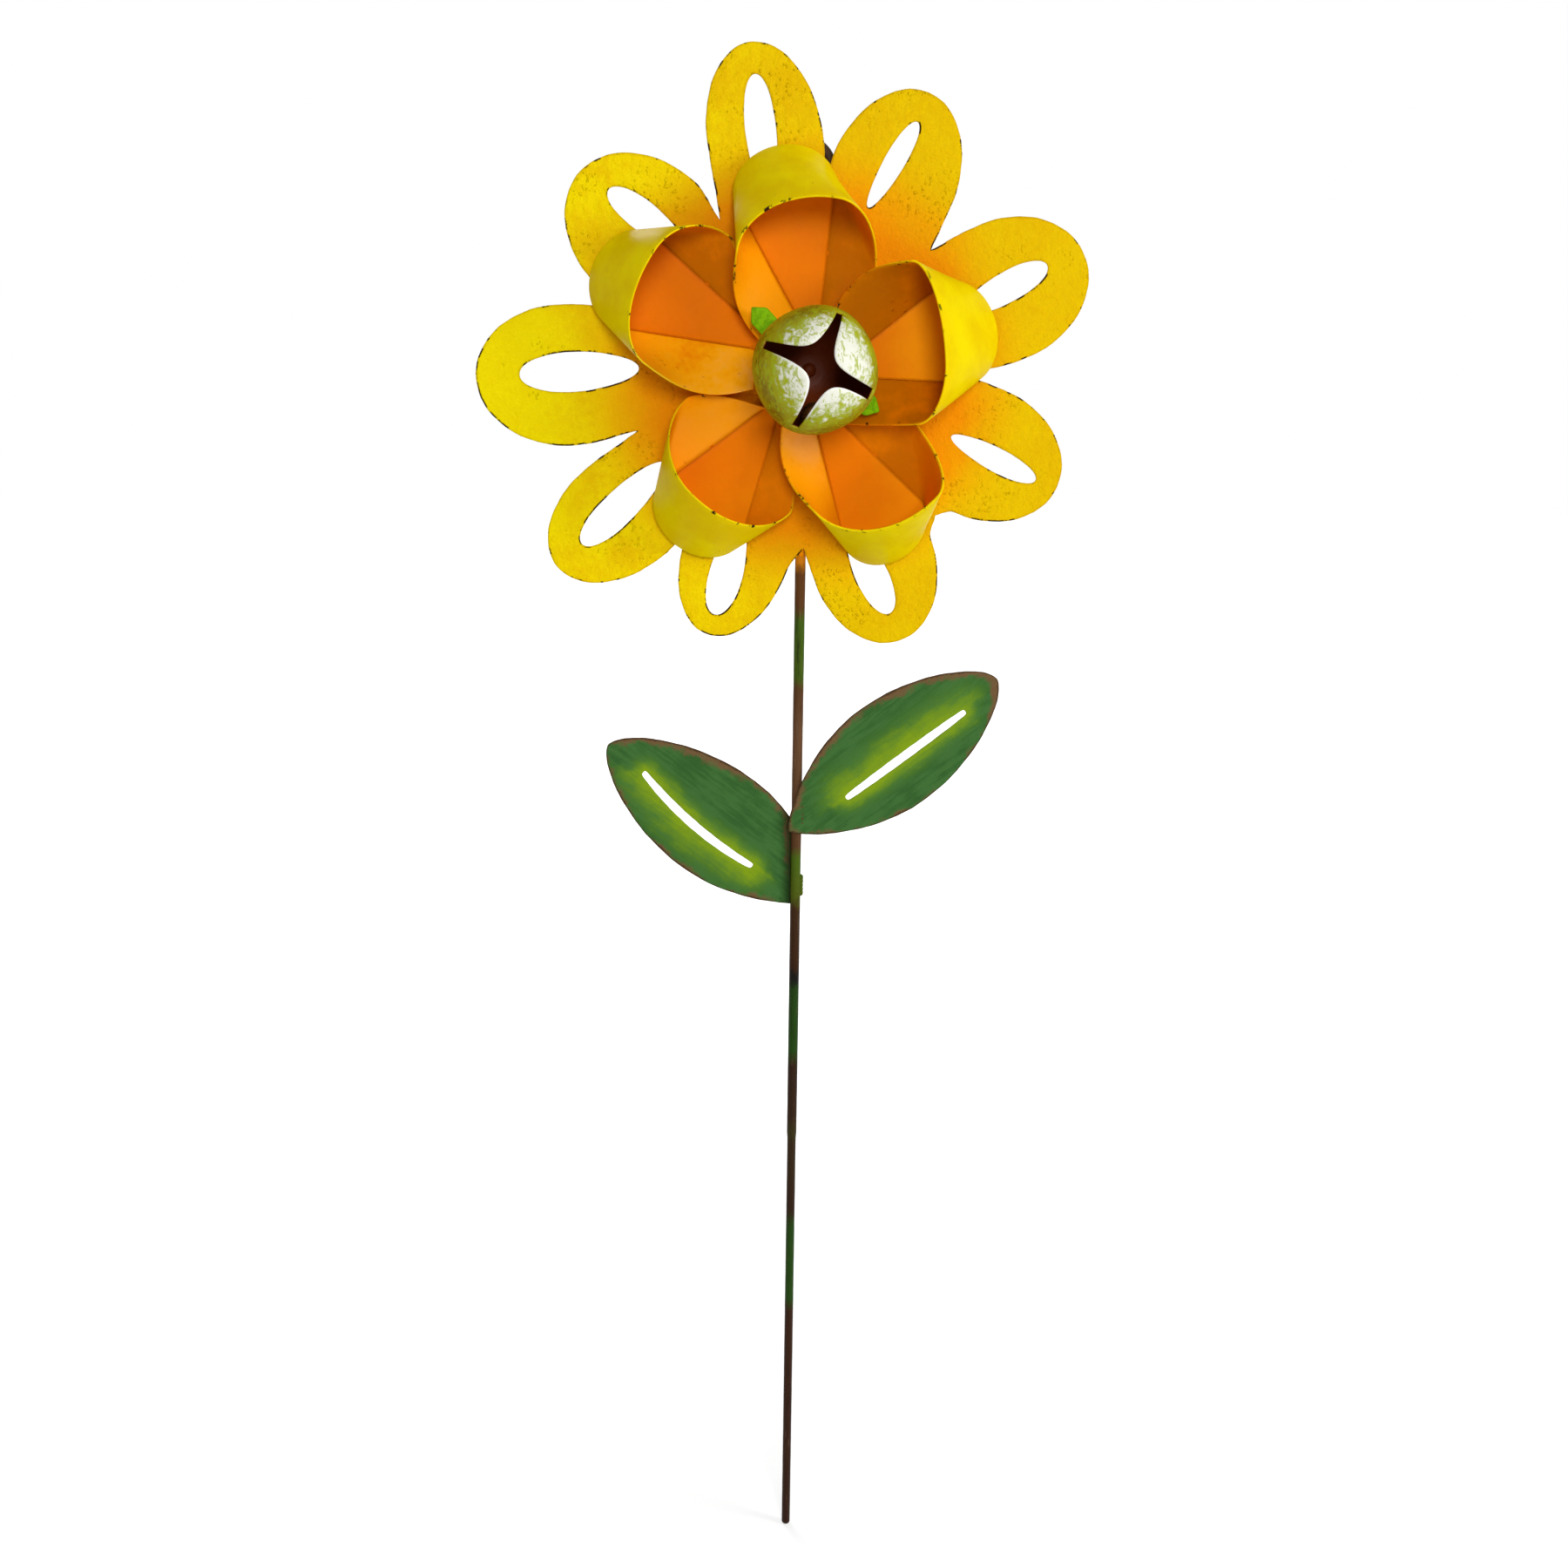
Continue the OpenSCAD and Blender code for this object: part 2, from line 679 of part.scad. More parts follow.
function ribbon_faces() =
    let(cols = belly_steps + 1, back = (loop_steps + 1) * cols, last = loop_steps * cols)
    concat(
        [for (i = [0 : loop_steps - 1]) for (j = [0 : belly_steps - 1]) let(p = i * cols + j)
            each quad_faces(p, p + 1, p + cols + 1, p + cols)],
        [for (i = [0 : loop_steps - 1]) for (j = [0 : belly_steps - 1]) let(p = back + i * cols + j)
            each quad_faces(p, p + cols, p + cols + 1, p + 1)],
        [for (i = [0 : loop_steps - 1]) let(p = i * cols)
            each quad_faces(p, p + cols, back + p + cols, back + p)],
        [for (i = [0 : loop_steps - 1]) let(p = i * cols + belly_steps)
            each quad_faces(p, back + p, back + p + cols, p + cols)],
        [for (j = [0 : belly_steps - 1]) each quad_faces(j, back + j, back + j + 1, j + 1)],
        [for (j = [0 : belly_steps - 1]) let(p = last + j)
            each quad_faces(p, p + 1, back + p + 1, back + p)]
    );

module loop_petal(loop) {
    color(yellow)
        polyhedron(concat(ribbon_layer(loop, 1), ribbon_layer(loop, -1)), ribbon_faces());
}

// Beads that join each ribbon to the edges of its tongue, behind the star
module petal_welds() {
    bead_places = [0.98, 0.75];
    bead_y = star_back + weld_r / 2;
    color(orange)
        for (loop = loops)
            for (side = [-1, 1])
                for (place = bead_places) {
                    flat = base_point(loop, side * place);
                    translate([flat[0], bead_y, hub_h + flat[1]]) sphere(weld_r);
                }
}

// Bell

module at_posts() {
    for (dir = strap_dirs)
        translate([0, 0, hub_h])
            rotate([0, -dir, 0])
                translate([post_ring_r, 0, 0])
                    rotate([90, 0, 0]) children();
}

// One arm of the strap, with a square point
function strap_arm(dir) =
    let(half_w = strap_w / 2, shoulder = strap_reach - half_w)
    [for (p = [[0, -half_w], [shoulder, -half_w], [strap_reach, 0], [shoulder, half_w], [0, half_w]])
        turned(p, dir)];

module bell_strap() {
    color(bell_green)
        difference() {
            union() {
                axle_bar(strap_back, strap_front, strap_middle_r);
                for (dir = strap_dirs)
                    translate([0, 0, hub_h])
                        upright(strap_back, strap_t) polygon(strap_arm(dir));
            }
            axle_hole(strap_back, strap_front, bell_screw_d / 2 + seat_gap);
            at_posts() cylinder(h = abs(strap_front) + cut_over, r = tenon_d / 2 + seat_gap);
        }
}

module strap_posts() {
    color(steel)
        at_posts() {
            translate([0, 0, -star_back - rivet_h]) cylinder(h = rivet_h, r = rivet_d / 2);
            translate([0, 0, -star_back]) cylinder(h = star_back - strap_front, r = tenon_d / 2);
            translate([0, 0, -star_front]) cylinder(h = star_front - strap_back, r = post_d / 2);
            translate([0, 0, -strap_front]) cylinder(h = rivet_h, r = rivet_d / 2);
        }
}

module bell_screw() {
    head_back = strap_front - bell_wall;
    color(steel) {
        axle_bar(bell_nut_back, head_back, bell_screw_d / 2);
        axle_bar(head_back, head_back - screw_head_h, screw_head_d / 2);
    }
}

module bell_nut() {
    color(steel) hex_nut(bell_nut_back, strap_back, bell_nut_af, bell_screw_d / 2 + seat_gap);
}

// The hollow ball of the bell, flat at the back
module bell_ball() {
    inner_r = bell_r - bell_wall;
    translate([0, bell_y, hub_h])
        difference() {
            intersection() {
                sphere(bell_r);
                translate([-bell_r, -bell_r, -bell_r])
                    cube([bell_d, bell_r + bell_seat_depth, bell_d]);
            }
            intersection() {
                sphere(inner_r);
                translate([-bell_r, -bell_r, -bell_r])
                    cube([bell_d, bell_r + bell_seat_depth - bell_wall, bell_d]);
            }
        }
}

module bell_rear_shell() {
    color(olive)
        difference() {
            bell_ball();
            translate([-bell_r, bell_y - bell_d, hub_h - bell_r]) cube(bell_d);
            axle_hole(strap_front, strap_front - bell_wall, bell_screw_d / 2 + seat_gap);
        }
}

// One corner at the end of a mouth's arm, on its clockwise or anticlockwise side
function arm_corner(arm, side) =
    turned([mouth_reach, side * mouth_half_w * arm[1]], arm[0] + mouth_turn);

// Four-armed mouth with a rounded lobe after each arm
function mouth_points() = [for (i = [0 : len(mouth_arms) - 1])
    let(
        start = arm_corner(mouth_arms[i], 1),
        end = arm_corner(mouth_arms[(i + 1) % len(mouth_arms)], -1),
        tip = polar(lobe_tip_r * mouth_lobes[i][1], mouth_lobes[i][0] + mouth_turn),
        pull = (8 * tip - start - end) / 6
    )
    for (k = [0 : lobe_steps]) bezier(start, pull, pull, end, k / lobe_steps)];

module bell_front_shell() {
    color(olive)
        difference() {
            bell_ball();
            translate([-bell_r, bell_y, hub_h - bell_r]) cube(bell_d);
            translate([0, 0, hub_h])
                upright(bell_y, bell_d) polygon(mouth_points());
        }
}

module bell_pellet() {
    hang = bell_r - bell_wall - pellet_gap - pellet_d / 2;
    color(steel)
        translate([0, bell_y, hub_h - hang]) sphere(pellet_d / 2);
}

// Leaves

function leaf_outline(length) = concat(
    [for (k = [0 : leaf_steps]) let(t = k / leaf_steps)
        [length * t, -leaf_half(t)]],
    [for (k = [leaf_steps - 1 : -1 : 1]) let(t = k / leaf_steps)
        [length * t, leaf_half(t)]]
);

// Half a leaf's width at a place from its base to its blunter tip
function leaf_half(t) = leaf_half_w * pow(sin(180 * t), t < 0.5 ? leaf_fullness : leaf_tip_fullness);

// A slit that lies to one side of the leaf's middle and sags
function slit_outline(length, slit) =
    let(start = length - slit_margin - slit_len)
    [for (side = [-1, 1]) for (k = [0 : slit_steps])
        let(
            t = side < 0 ? k / slit_steps : 1 - k / slit_steps,
            middle = leaf_half_w * (slit[0] + (slit[1] - slit[0]) * t + slit[2] * 4 * t * (1 - t))
        )
        [start + slit_len * t, middle + side * slit_half(t)]];
function slit_half(t) = slit_w / 2 * (slit_end_share + (1 - slit_end_share) * sqrt(sin(180 * t)));

module leaf(length, y_back, slit) {
    color(leaf_green)
        difference() {
            upright(y_back, leaf_t) polygon(leaf_outline(length));
            upright(y_back + cut_over, leaf_t + 2 * cut_over) polygon(slit_outline(length, slit));
        }
}

module leaf_right() {
    translate([-right_leaf_lap, 0, hub_h - right_leaf_drop])
        rotate([0, -right_leaf_rise, 0])
            leaf(right_leaf_len, -stem_r - leaf_gap, leaf_slits[0]);
}

module leaf_left() {
    edge_x = -stem_r - leaf_gap;
    difference() {
        translate([left_leaf_trim, 0, hub_h - left_leaf_drop])
            rotate([0, left_leaf_rise - 180, 0])
                leaf(left_leaf_len, leaf_t / 2, leaf_slits[1]);
        translate([edge_x, -leaf_t, hub_h - left_leaf_drop - left_leaf_len])
            cube([left_leaf_len, 2 * leaf_t, 2 * left_leaf_len]);
    }
}

module leaf_welds() {
    left_z = hub_h - left_leaf_drop;
    right_z = hub_h - right_leaf_drop;
    color(stem_brown) {
        weld_bead([-stem_r - leaf_gap, weld_r, left_z + long_weld / 2], long_weld);
        weld_bead([stem_r, 0, left_z + mid_weld], mid_weld);
        weld_bead([stem_r, -stem_r, right_z + mid_weld], mid_weld);
    }
}

stake();
top_scroll();
back_flower();
plate_welds();
axle_stud();
plate_nut();
rear_washer();
front_washer();
lock_nut();
hub_bush();
hub_ring();
star_plate();
loop_petal(loops[0]);  // loop_petal_right
loop_petal(loops[1]);  // loop_petal_top
loop_petal(loops[2]);  // loop_petal_left
loop_petal(loops[3]);  // loop_petal_lower_left
loop_petal(loops[4]);  // loop_petal_lower_right
petal_welds();
bell_strap();
strap_posts();
bell_screw();
bell_nut();
bell_rear_shell();
bell_front_shell();
bell_pellet();
leaf_left();
leaf_right();
leaf_welds();
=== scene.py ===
import math

import bmesh
import bpy
import numpy as np
from mathutils import Matrix, Vector, geometry


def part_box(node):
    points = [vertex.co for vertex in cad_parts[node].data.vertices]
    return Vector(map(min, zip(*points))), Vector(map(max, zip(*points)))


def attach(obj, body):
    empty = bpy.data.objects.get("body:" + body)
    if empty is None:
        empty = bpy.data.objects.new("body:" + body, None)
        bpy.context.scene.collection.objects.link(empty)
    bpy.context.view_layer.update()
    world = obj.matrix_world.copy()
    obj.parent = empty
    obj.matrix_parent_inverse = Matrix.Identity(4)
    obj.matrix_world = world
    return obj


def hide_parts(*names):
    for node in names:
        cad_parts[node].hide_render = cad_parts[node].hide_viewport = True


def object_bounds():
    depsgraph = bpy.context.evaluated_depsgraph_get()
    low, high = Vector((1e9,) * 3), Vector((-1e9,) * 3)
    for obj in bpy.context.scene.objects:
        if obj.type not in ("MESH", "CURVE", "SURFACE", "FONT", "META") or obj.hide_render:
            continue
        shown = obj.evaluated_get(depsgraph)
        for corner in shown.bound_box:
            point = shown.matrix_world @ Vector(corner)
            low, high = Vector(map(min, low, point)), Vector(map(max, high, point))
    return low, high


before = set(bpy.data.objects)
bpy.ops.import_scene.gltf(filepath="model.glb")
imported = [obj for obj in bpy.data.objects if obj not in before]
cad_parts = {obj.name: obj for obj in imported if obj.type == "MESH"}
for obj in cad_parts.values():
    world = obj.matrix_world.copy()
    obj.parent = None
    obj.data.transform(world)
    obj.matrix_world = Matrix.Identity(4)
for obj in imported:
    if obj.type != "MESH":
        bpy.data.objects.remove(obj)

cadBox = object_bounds()

# lengths below are in millimetres and angles in degrees, as in the part's source
mm = 0.001
hubZ = (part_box("axle_stud")[0].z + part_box("axle_stud")[1].z) / 2 / mm


def station(node):
    low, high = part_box(node)
    return high.y / mm, low.y / mm  # back, front


def tint(red, green, blue):
    # a colour as it should look on screen, 0 to 255
    share = [c / 255 for c in (red, green, blue)]
    return tuple(c / 12.92 if c < 0.04 else ((c + 0.055) / 1.055) ** 2.4 for c in share) + (1.0,)


class Tone:
    # one shader value; sums with it add Math nodes
    def __init__(self, coat, socket):
        self.coat = coat
        self.socket = socket

    def sum(self, operation, first, second):
        return self.coat.node("Math", {"operation": operation}, {0: first, 1: second})

    def __add__(self, other):
        return self.sum("ADD", self, other)

    def __radd__(self, other):
        return self.sum("ADD", other, self)

    def __sub__(self, other):
        return self.sum("SUBTRACT", self, other)

    def __rsub__(self, other):
        return self.sum("SUBTRACT", other, self)

    def __mul__(self, other):
        return self.sum("MULTIPLY", self, other)

    def __rmul__(self, other):
        return self.sum("MULTIPLY", other, self)

    def __truediv__(self, other):
        return self.sum("DIVIDE", self, other)

    def __rtruediv__(self, other):
        return self.sum("DIVIDE", other, self)

    def __pow__(self, other):
        return self.sum("POWER", self, other)

    def __rpow__(self, other):
        return self.sum("POWER", other, self)

    def sway(self, reach):
        # a noise from 0 to 1 as a shift to either side
        return (self - 0.5) * reach


class Coat:
    # a painted or bare finish, built from nodes
    def __init__(self, name, owner=None):
        self.owner = owner or bpy.data.materials.new(name)
        self.owner.use_nodes = True
        self.tree = self.owner.node_tree
        self.tree.nodes.clear()

    def node(self, kind, settings=None, sockets=None, out=0):
        made = self.tree.nodes.new("ShaderNode" + kind)
        for key, value in (settings or {}).items():
            if key == "stops":
                ramp = made.color_ramp.elements
                while len(ramp) < len(value):
                    ramp.new(0.5)
                for stop, (place, colour) in zip(ramp, value):
                    stop.position = place
                    stop.color = colour
            else:
                setattr(made, key, value)
        for key, value in (sockets or {}).items():
            if isinstance(value, Tone):
                self.tree.links.new(value.socket, made.inputs[key])
            else:
                made.inputs[key].default_value = value
        return Tone(self, made.outputs[out])

    def place(self, stretch=(1, 1, 1)):
        # where a point is on the object at rest, in millimetres
        spot = self.node("TexCoord", out="Object")
        return self.node("VectorMath", {"operation": "MULTIPLY"}, {0: spot, 1: [s / mm for s in stretch]})

    def axes(self, spot):
        split = self.node("SeparateXYZ", sockets={0: spot})
        outs = split.socket.node.outputs
        return [Tone(self, outs[i]) for i in range(3)]

    def along(self, spot, way):
        return self.node("VectorMath", {"operation": "DOT_PRODUCT"}, {0: spot, 1: way}, out=1)

    def grain(self, size, detail, rough=0.55, spot=None, warp=0):
        return self.node("TexNoise", None, {"Vector": spot or self.place(), "Scale": 1 / size,
                                            "Detail": detail, "Roughness": rough, "Distortion": warp})

    def flakes(self, size):
        return self.node("TexVoronoi", None, {"Vector": self.place(), "Scale": 1 / size})

    def fade(self, value, start, end):
        # 0 at start, 1 at end, smooth between
        return self.node("MapRange", {"interpolation_type": "SMOOTHSTEP"},
                         {0: value, 1: start, 2: end})

    def mark(self, name):
        return self.node("Attribute", {"attribute_name": name}, out="Fac")

    def mix(self, mask, low, high):
        # the colour low where the mask is 0, high where it is 1
        return self.node("Mix", {"data_type": "RGBA"}, {0: mask, 6: low, 7: high}, out=2)

    def most(self, first, second):
        return self.node("Math", {"operation": "MAXIMUM"}, {0: first, 1: second})

    def least(self, first, second):
        return self.node("Math", {"operation": "MINIMUM"}, {0: first, 1: second})

    def relief(self, height, depth, under=None):
        # depth in millimetres
        sockets = {"Strength": 1.0, "Distance": depth * mm, "Height": height}
        if under is not None:
            sockets["Normal"] = under
        return self.node("Bump", None, sockets)

    def done(self, sockets):
        shader = self.node("BsdfPrincipled", None, sockets)
        return self.finishWith(shader)

    def finishWith(self, shader, kind="Material"):
        end = self.tree.nodes.new("ShaderNodeOutput" + kind)
        self.tree.links.new(shader.socket, end.inputs["Surface"])
        return self.owner


def hubRadius(coat):
    # distance from the axle, in millimetres
    across, _, up = coat.axes(coat.place())
    rise = up - hubZ
    return (across * across + rise * rise) ** 0.5


# in the finishes below a noise is given by its size, detail and roughness, and depths are in millimetres
paintShine = 0.02  # specular level of the old enamel

yellowPaint = {
    "lemon": tint(244, 216, 0), "gold": tint(234, 192, 0), "sprayed": tint(236, 142, 0), "paintedShade": tint(222, 174, 0),
    "paintedLight": tint(252, 232, 0), "chip": tint(58, 34, 18), "thinEdgeAndLitWall": tint(170, 126, 0),
    "sprayFrom": 100, "sprayTo": 62, "chipWidth": 0.8, "rough": 0.46,
    "cloud": (26, 4, 0.6), "brushed": (3.2, 4, 0.6), "wear": (7, 5, 0.65), "knocked": (34, 3, 0.6),
    "flaking": (4.5, 6, 0.7), "blisters": (1.9, 1), "rusting": (30, 2), "peel": (1.1, 3),
    "brushDepth": 0.7, "peelDepth": 0.24, "blisterDepth": 0.42,
}


def makeYellowCoat():
    look = yellowPaint
    coat = Coat("yellowEnamel")
    cloud = coat.grain(*look["cloud"])
    brushed = coat.grain(*look["brushed"])
    body = coat.mix(coat.fade(cloud + brushed.sway(0.5), 0.34, 0.72), look["lemon"], look["gold"])
    # painted light and shade: brightest on the left, darker towards the right and towards the top and bottom
    across, _, up = coat.axes(coat.place())
    rise = coat.most(up - hubZ, hubZ - up)
    paintedShade = coat.fade(across + rise * 0.6 + cloud.sway(40), -40, 110)
    body = coat.mix(paintedShade * 0.6, body, look["paintedShade"])
    paintedLight = coat.fade(across + cloud.sway(40), -80, -125)
    body = coat.mix(paintedLight * 0.7, body, look["paintedLight"])
    # orange overspray from the middle of the flower
    far = hubRadius(coat) + cloud.sway(34) + brushed.sway(6)
    body = coat.mix(coat.fade(far, look["sprayFrom"], look["sprayTo"]), body, look["sprayed"])
    # paint is thin on the cut edges and gone in places
    rim = coat.least(coat.mark("rim"), coat.mark("cut"))
    wear = coat.grain(*look["wear"])
    thinEdgeAndLitWall = coat.fade(rim - wear.sway(2.4), 1.0, 0.2) * 0.3
    body = coat.mix(thinEdgeAndLitWall, body, look["thinEdgeAndLitWall"])
    knocked = coat.fade(coat.grain(*look["knocked"]), 0.5, 0.62)
    flaking = coat.fade(coat.grain(*look["flaking"]) + knocked * 0.14, 0.58, 0.64)
    chips = flaking * coat.fade(rim, look["chipWidth"], 0.4)
    body = coat.mix(chips, body, look["chip"])
    # blisters of rust under the paint
    blisters = coat.fade(coat.grain(*look["blisters"]), 0.58, 0.7)
    blisters = blisters * coat.fade(coat.grain(*look["rusting"]), 0.5, 0.62)
    skin = coat.relief(brushed, look["brushDepth"])
    skin = coat.relief(coat.grain(*look["peel"]), look["peelDepth"], skin)
    skin = coat.relief(blisters - chips, look["blisterDepth"], skin)
    rough = look["rough"] + brushed.sway(0.25) + chips * 0.3
    return coat.done({"Base Color": body, "Roughness": rough, "Normal": skin, "Specular IOR Level": paintShine})


loopPaint = {
    "lemon": tint(244, 220, 0), "olive": tint(232, 198, 0), "inside": tint(240, 132, 0), "deep": tint(222, 108, 0),
    "amber": tint(247, 160, 0), "thinEdgeAndLitWall": tint(252, 170, 6), "wallShade": tint(190, 106, 0), "chip": tint(52, 32, 18),
    "edge": tint(246, 222, 10), "rough": 0.38, "glossRough": 0.3,
    "cloud": (22, 4, 0.6), "brushed": (2.6, 4, 0.6), "flaking": (5.5, 6, 0.72), "bumpy": (24, 2), "bumpSize": 5,
    "brushDepth": 0.22, "bumpDepth": 0.32,
}


def makeLoopCoat():
    look = loopPaint
    coat = Coat("loopEnamel")
    cloud = coat.grain(*look["cloud"])
    brushed = coat.grain(*look["brushed"])
    far = hubRadius(coat)
    outside = coat.mix(coat.fade(cloud, 0.3, 0.7), look["lemon"], look["olive"])
    # orange sprayed from inside drifts over the base of the ribbons
    drift = coat.fade(far + cloud.sway(30), 60, 30)
    outside = coat.mix(drift, outside, look["inside"])
    inside = coat.mix(coat.fade(far + cloud.sway(26), 58, 84) * 0.55, look["inside"], look["amber"])
    inside = coat.mix(coat.fade(far + brushed.sway(10), 36, 18) * 0.7, inside, look["deep"])
    # painted light: the inside walls marked as facing the lamps are painted a lighter orange
    amber = coat.mark("amber") * coat.fade(cloud + brushed.sway(0.4), 0.1, 0.45)
    inside = coat.mix(amber, inside, look["thinEdgeAndLitWall"])
    # painted shade: the inside walls marked as turned away from the lamps are painted a darker brown orange
    inside = coat.mix(coat.mark("dull") * coat.fade(cloud, 0.2, 0.55), inside, look["wallShade"])
    within = coat.most(coat.mark("inside"), coat.fade(far, 48, 36))
    body = coat.mix(coat.fade(within, 0.35, 0.75), outside, inside)
    rim = coat.mark("rim")
    wornRimAndHighlight = coat.fade(rim - brushed.sway(0.8), 0.9, 0.3) * coat.fade(far + cloud.sway(24), 44, 66)
    body = coat.mix(wornRimAndHighlight * 0.4, body, look["edge"])
    chips = coat.fade(coat.grain(*look["flaking"]), 0.57, 0.62) * coat.fade(rim, 1.2, 0.5)
    body = coat.mix(chips, body, look["chip"])
    bumps = coat.fade(coat.flakes(look["bumpSize"]), 0.16, 0.05) * coat.fade(coat.grain(*look["bumpy"]), 0.55, 0.66)
    skin = coat.relief(brushed, look["brushDepth"])
    skin = coat.relief(bumps - chips, look["bumpDepth"], skin)
    rough = look["rough"] + brushed.sway(0.22) + chips * 0.35
    gloss = coat.mark("gloss") * coat.fade(cloud + brushed.sway(0.3), 0.36, 0.6)
    return coat.done({"Base Color": body, "Roughness": rough, "Normal": skin, "Specular IOR Level": paintShine,
                      "Coat Weight": gloss, "Coat Roughness": look["glossRough"]})


orangePaint = {
    "body": tint(236, 124, 0), "light": tint(242, 144, 0), "deep": tint(214, 106, 0), "pale": tint(255, 164, 6),
    "seam": tint(150, 66, 0), "cloud": (20, 4, 0.6), "brushed": (2.2, 4, 0.6), "brushDepth": 0.12, "rough": 0.4,
}


def makeOrangeCoat():
    look = orangePaint
    coat = Coat("orangeEnamel")
    cloud = coat.grain(*look["cloud"])
    brushed = coat.grain(*look["brushed"])
    far = hubRadius(coat)
    body = coat.mix(coat.fade(far + cloud.sway(30), 45, 80), look["body"], look["light"])
    body = coat.mix(coat.fade(far + cloud.sway(14), 34, 14) * 0.7, body, look["deep"])
    body = coat.mix(coat.fade(brushed, 0.62, 0.75) * 0.3, body, look["deep"])
    # painted light and shade: paler on the right and deeper on the left
    across, _, _ = coat.axes(coat.place())
    body = coat.mix(coat.fade(across + cloud.sway(20), 26, 60) * 0.9, body, look["pale"])
    body = coat.mix(coat.fade(across + cloud.sway(20), -20, -56) * 0.7, body, look["deep"])
    # darker along the star's edges, where the ribbons stand on it
    seam = coat.fade(coat.mark("rim") + brushed.sway(0.8), 0.95, 0.5)
    body = coat.mix(seam * 0.35, body, look["seam"])
    skin = coat.relief(brushed, look["brushDepth"])
    rough = look["rough"] + cloud.sway(0.2)
    return coat.done({"Base Color": body, "Roughness": rough, "Normal": skin, "Specular IOR Level": paintShine})


stemPaint = {
    # height along the rod and the paint found there
    "bands": [
        (-222, (46, 24, 12)), (-150, (52, 28, 14)), (-96, (52, 28, 12)), (-88, (32, 64, 10)), (-48, (30, 62, 10)),
        (-40, (46, 26, 12)), (-4, (50, 34, 14)), (2, (54, 48, 16)), (10, (46, 26, 10)), (38, (44, 26, 10)),
        (46, (30, 64, 8)), (76, (28, 58, 8)), (80, (10, 10, 4)), (85, (12, 10, 4)), (88, (52, 28, 8)),
        (117, (56, 32, 10)), (123, (74, 86, 10)), (142, (68, 94, 14)), (147, (84, 54, 28)), (200, (98, 68, 44)),
        (221, (84, 54, 28)), (226, (62, 84, 10)), (252, (58, 84, 10)), (258, (84, 52, 22)), (274, (92, 54, 18)),
        (279, (206, 124, 8)), (340, (200, 112, 0)), (404, (70, 48, 30)), (460, (60, 44, 30)),
    ],
    "low": -230, "high": 470, "scuff": tint(140, 112, 88), "bare": tint(26, 16, 8),
    # brush marks and streaks, drawn out along the rod
    "brushed": (2.4, 4, 0.6), "brushLie": (1, 1, 0.35), "streaks": (1.6, 5, 0.65), "streakLie": (1, 1, 0.08),
    "pits": (0.6, 3), "brushDepth": 0.12, "pitDepth": 0.03, "rough": 0.46, "shine": 0.08,
}


def makeStemCoat():
    look = stemPaint
    coat = Coat("stemPaint")
    brushed = coat.grain(*look["brushed"], coat.place(look["brushLie"]))
    _, _, up = coat.axes(coat.place())
    reach = look["high"] - look["low"]
    height = (up + brushed.sway(9) - look["low"]) / reach
    stops = [((z - look["low"]) / reach, tint(*colour)) for z, colour in look["bands"]]
    body = coat.node("ValToRGB", {"stops": stops}, {0: height})
    streak = coat.grain(*look["streaks"], coat.place(look["streakLie"]))
    body = coat.mix(coat.fade(streak, 0.58, 0.76) * 0.4, body, look["scuff"])
    body = coat.mix(coat.fade(streak, 0.46, 0.3) * 0.75, body, look["bare"])
    skin = coat.relief(brushed, look["brushDepth"])
    skin = coat.relief(coat.grain(*look["pits"]), look["pitDepth"], skin)
    rough = look["rough"] + streak.sway(0.3)
    return coat.done({"Base Color": body, "Roughness": rough, "Normal": skin, "Specular IOR Level": look["shine"]})


leafPaint = {
    "green": tint(66, 110, 54), "dark": tint(52, 95, 44), "glow": tint(134, 162, 22), "soft": tint(88, 132, 38),
    "rust": tint(116, 84, 58), "burnt": tint(66, 46, 26), "chip": tint(46, 34, 22), "shade": tint(22, 40, 14),
    "strokes": (2.2, 5, 0.62), "strokeLie": 0.12, "cloud": (16, 4, 0.6), "speck": (1.1, 3, 0.6), "patch": (15, 3, 0.6),
    "nicks": (3.4, 5, 0.7), "strokeDepth": 0.16, "speckDepth": 0.07, "rough": 0.5,
}


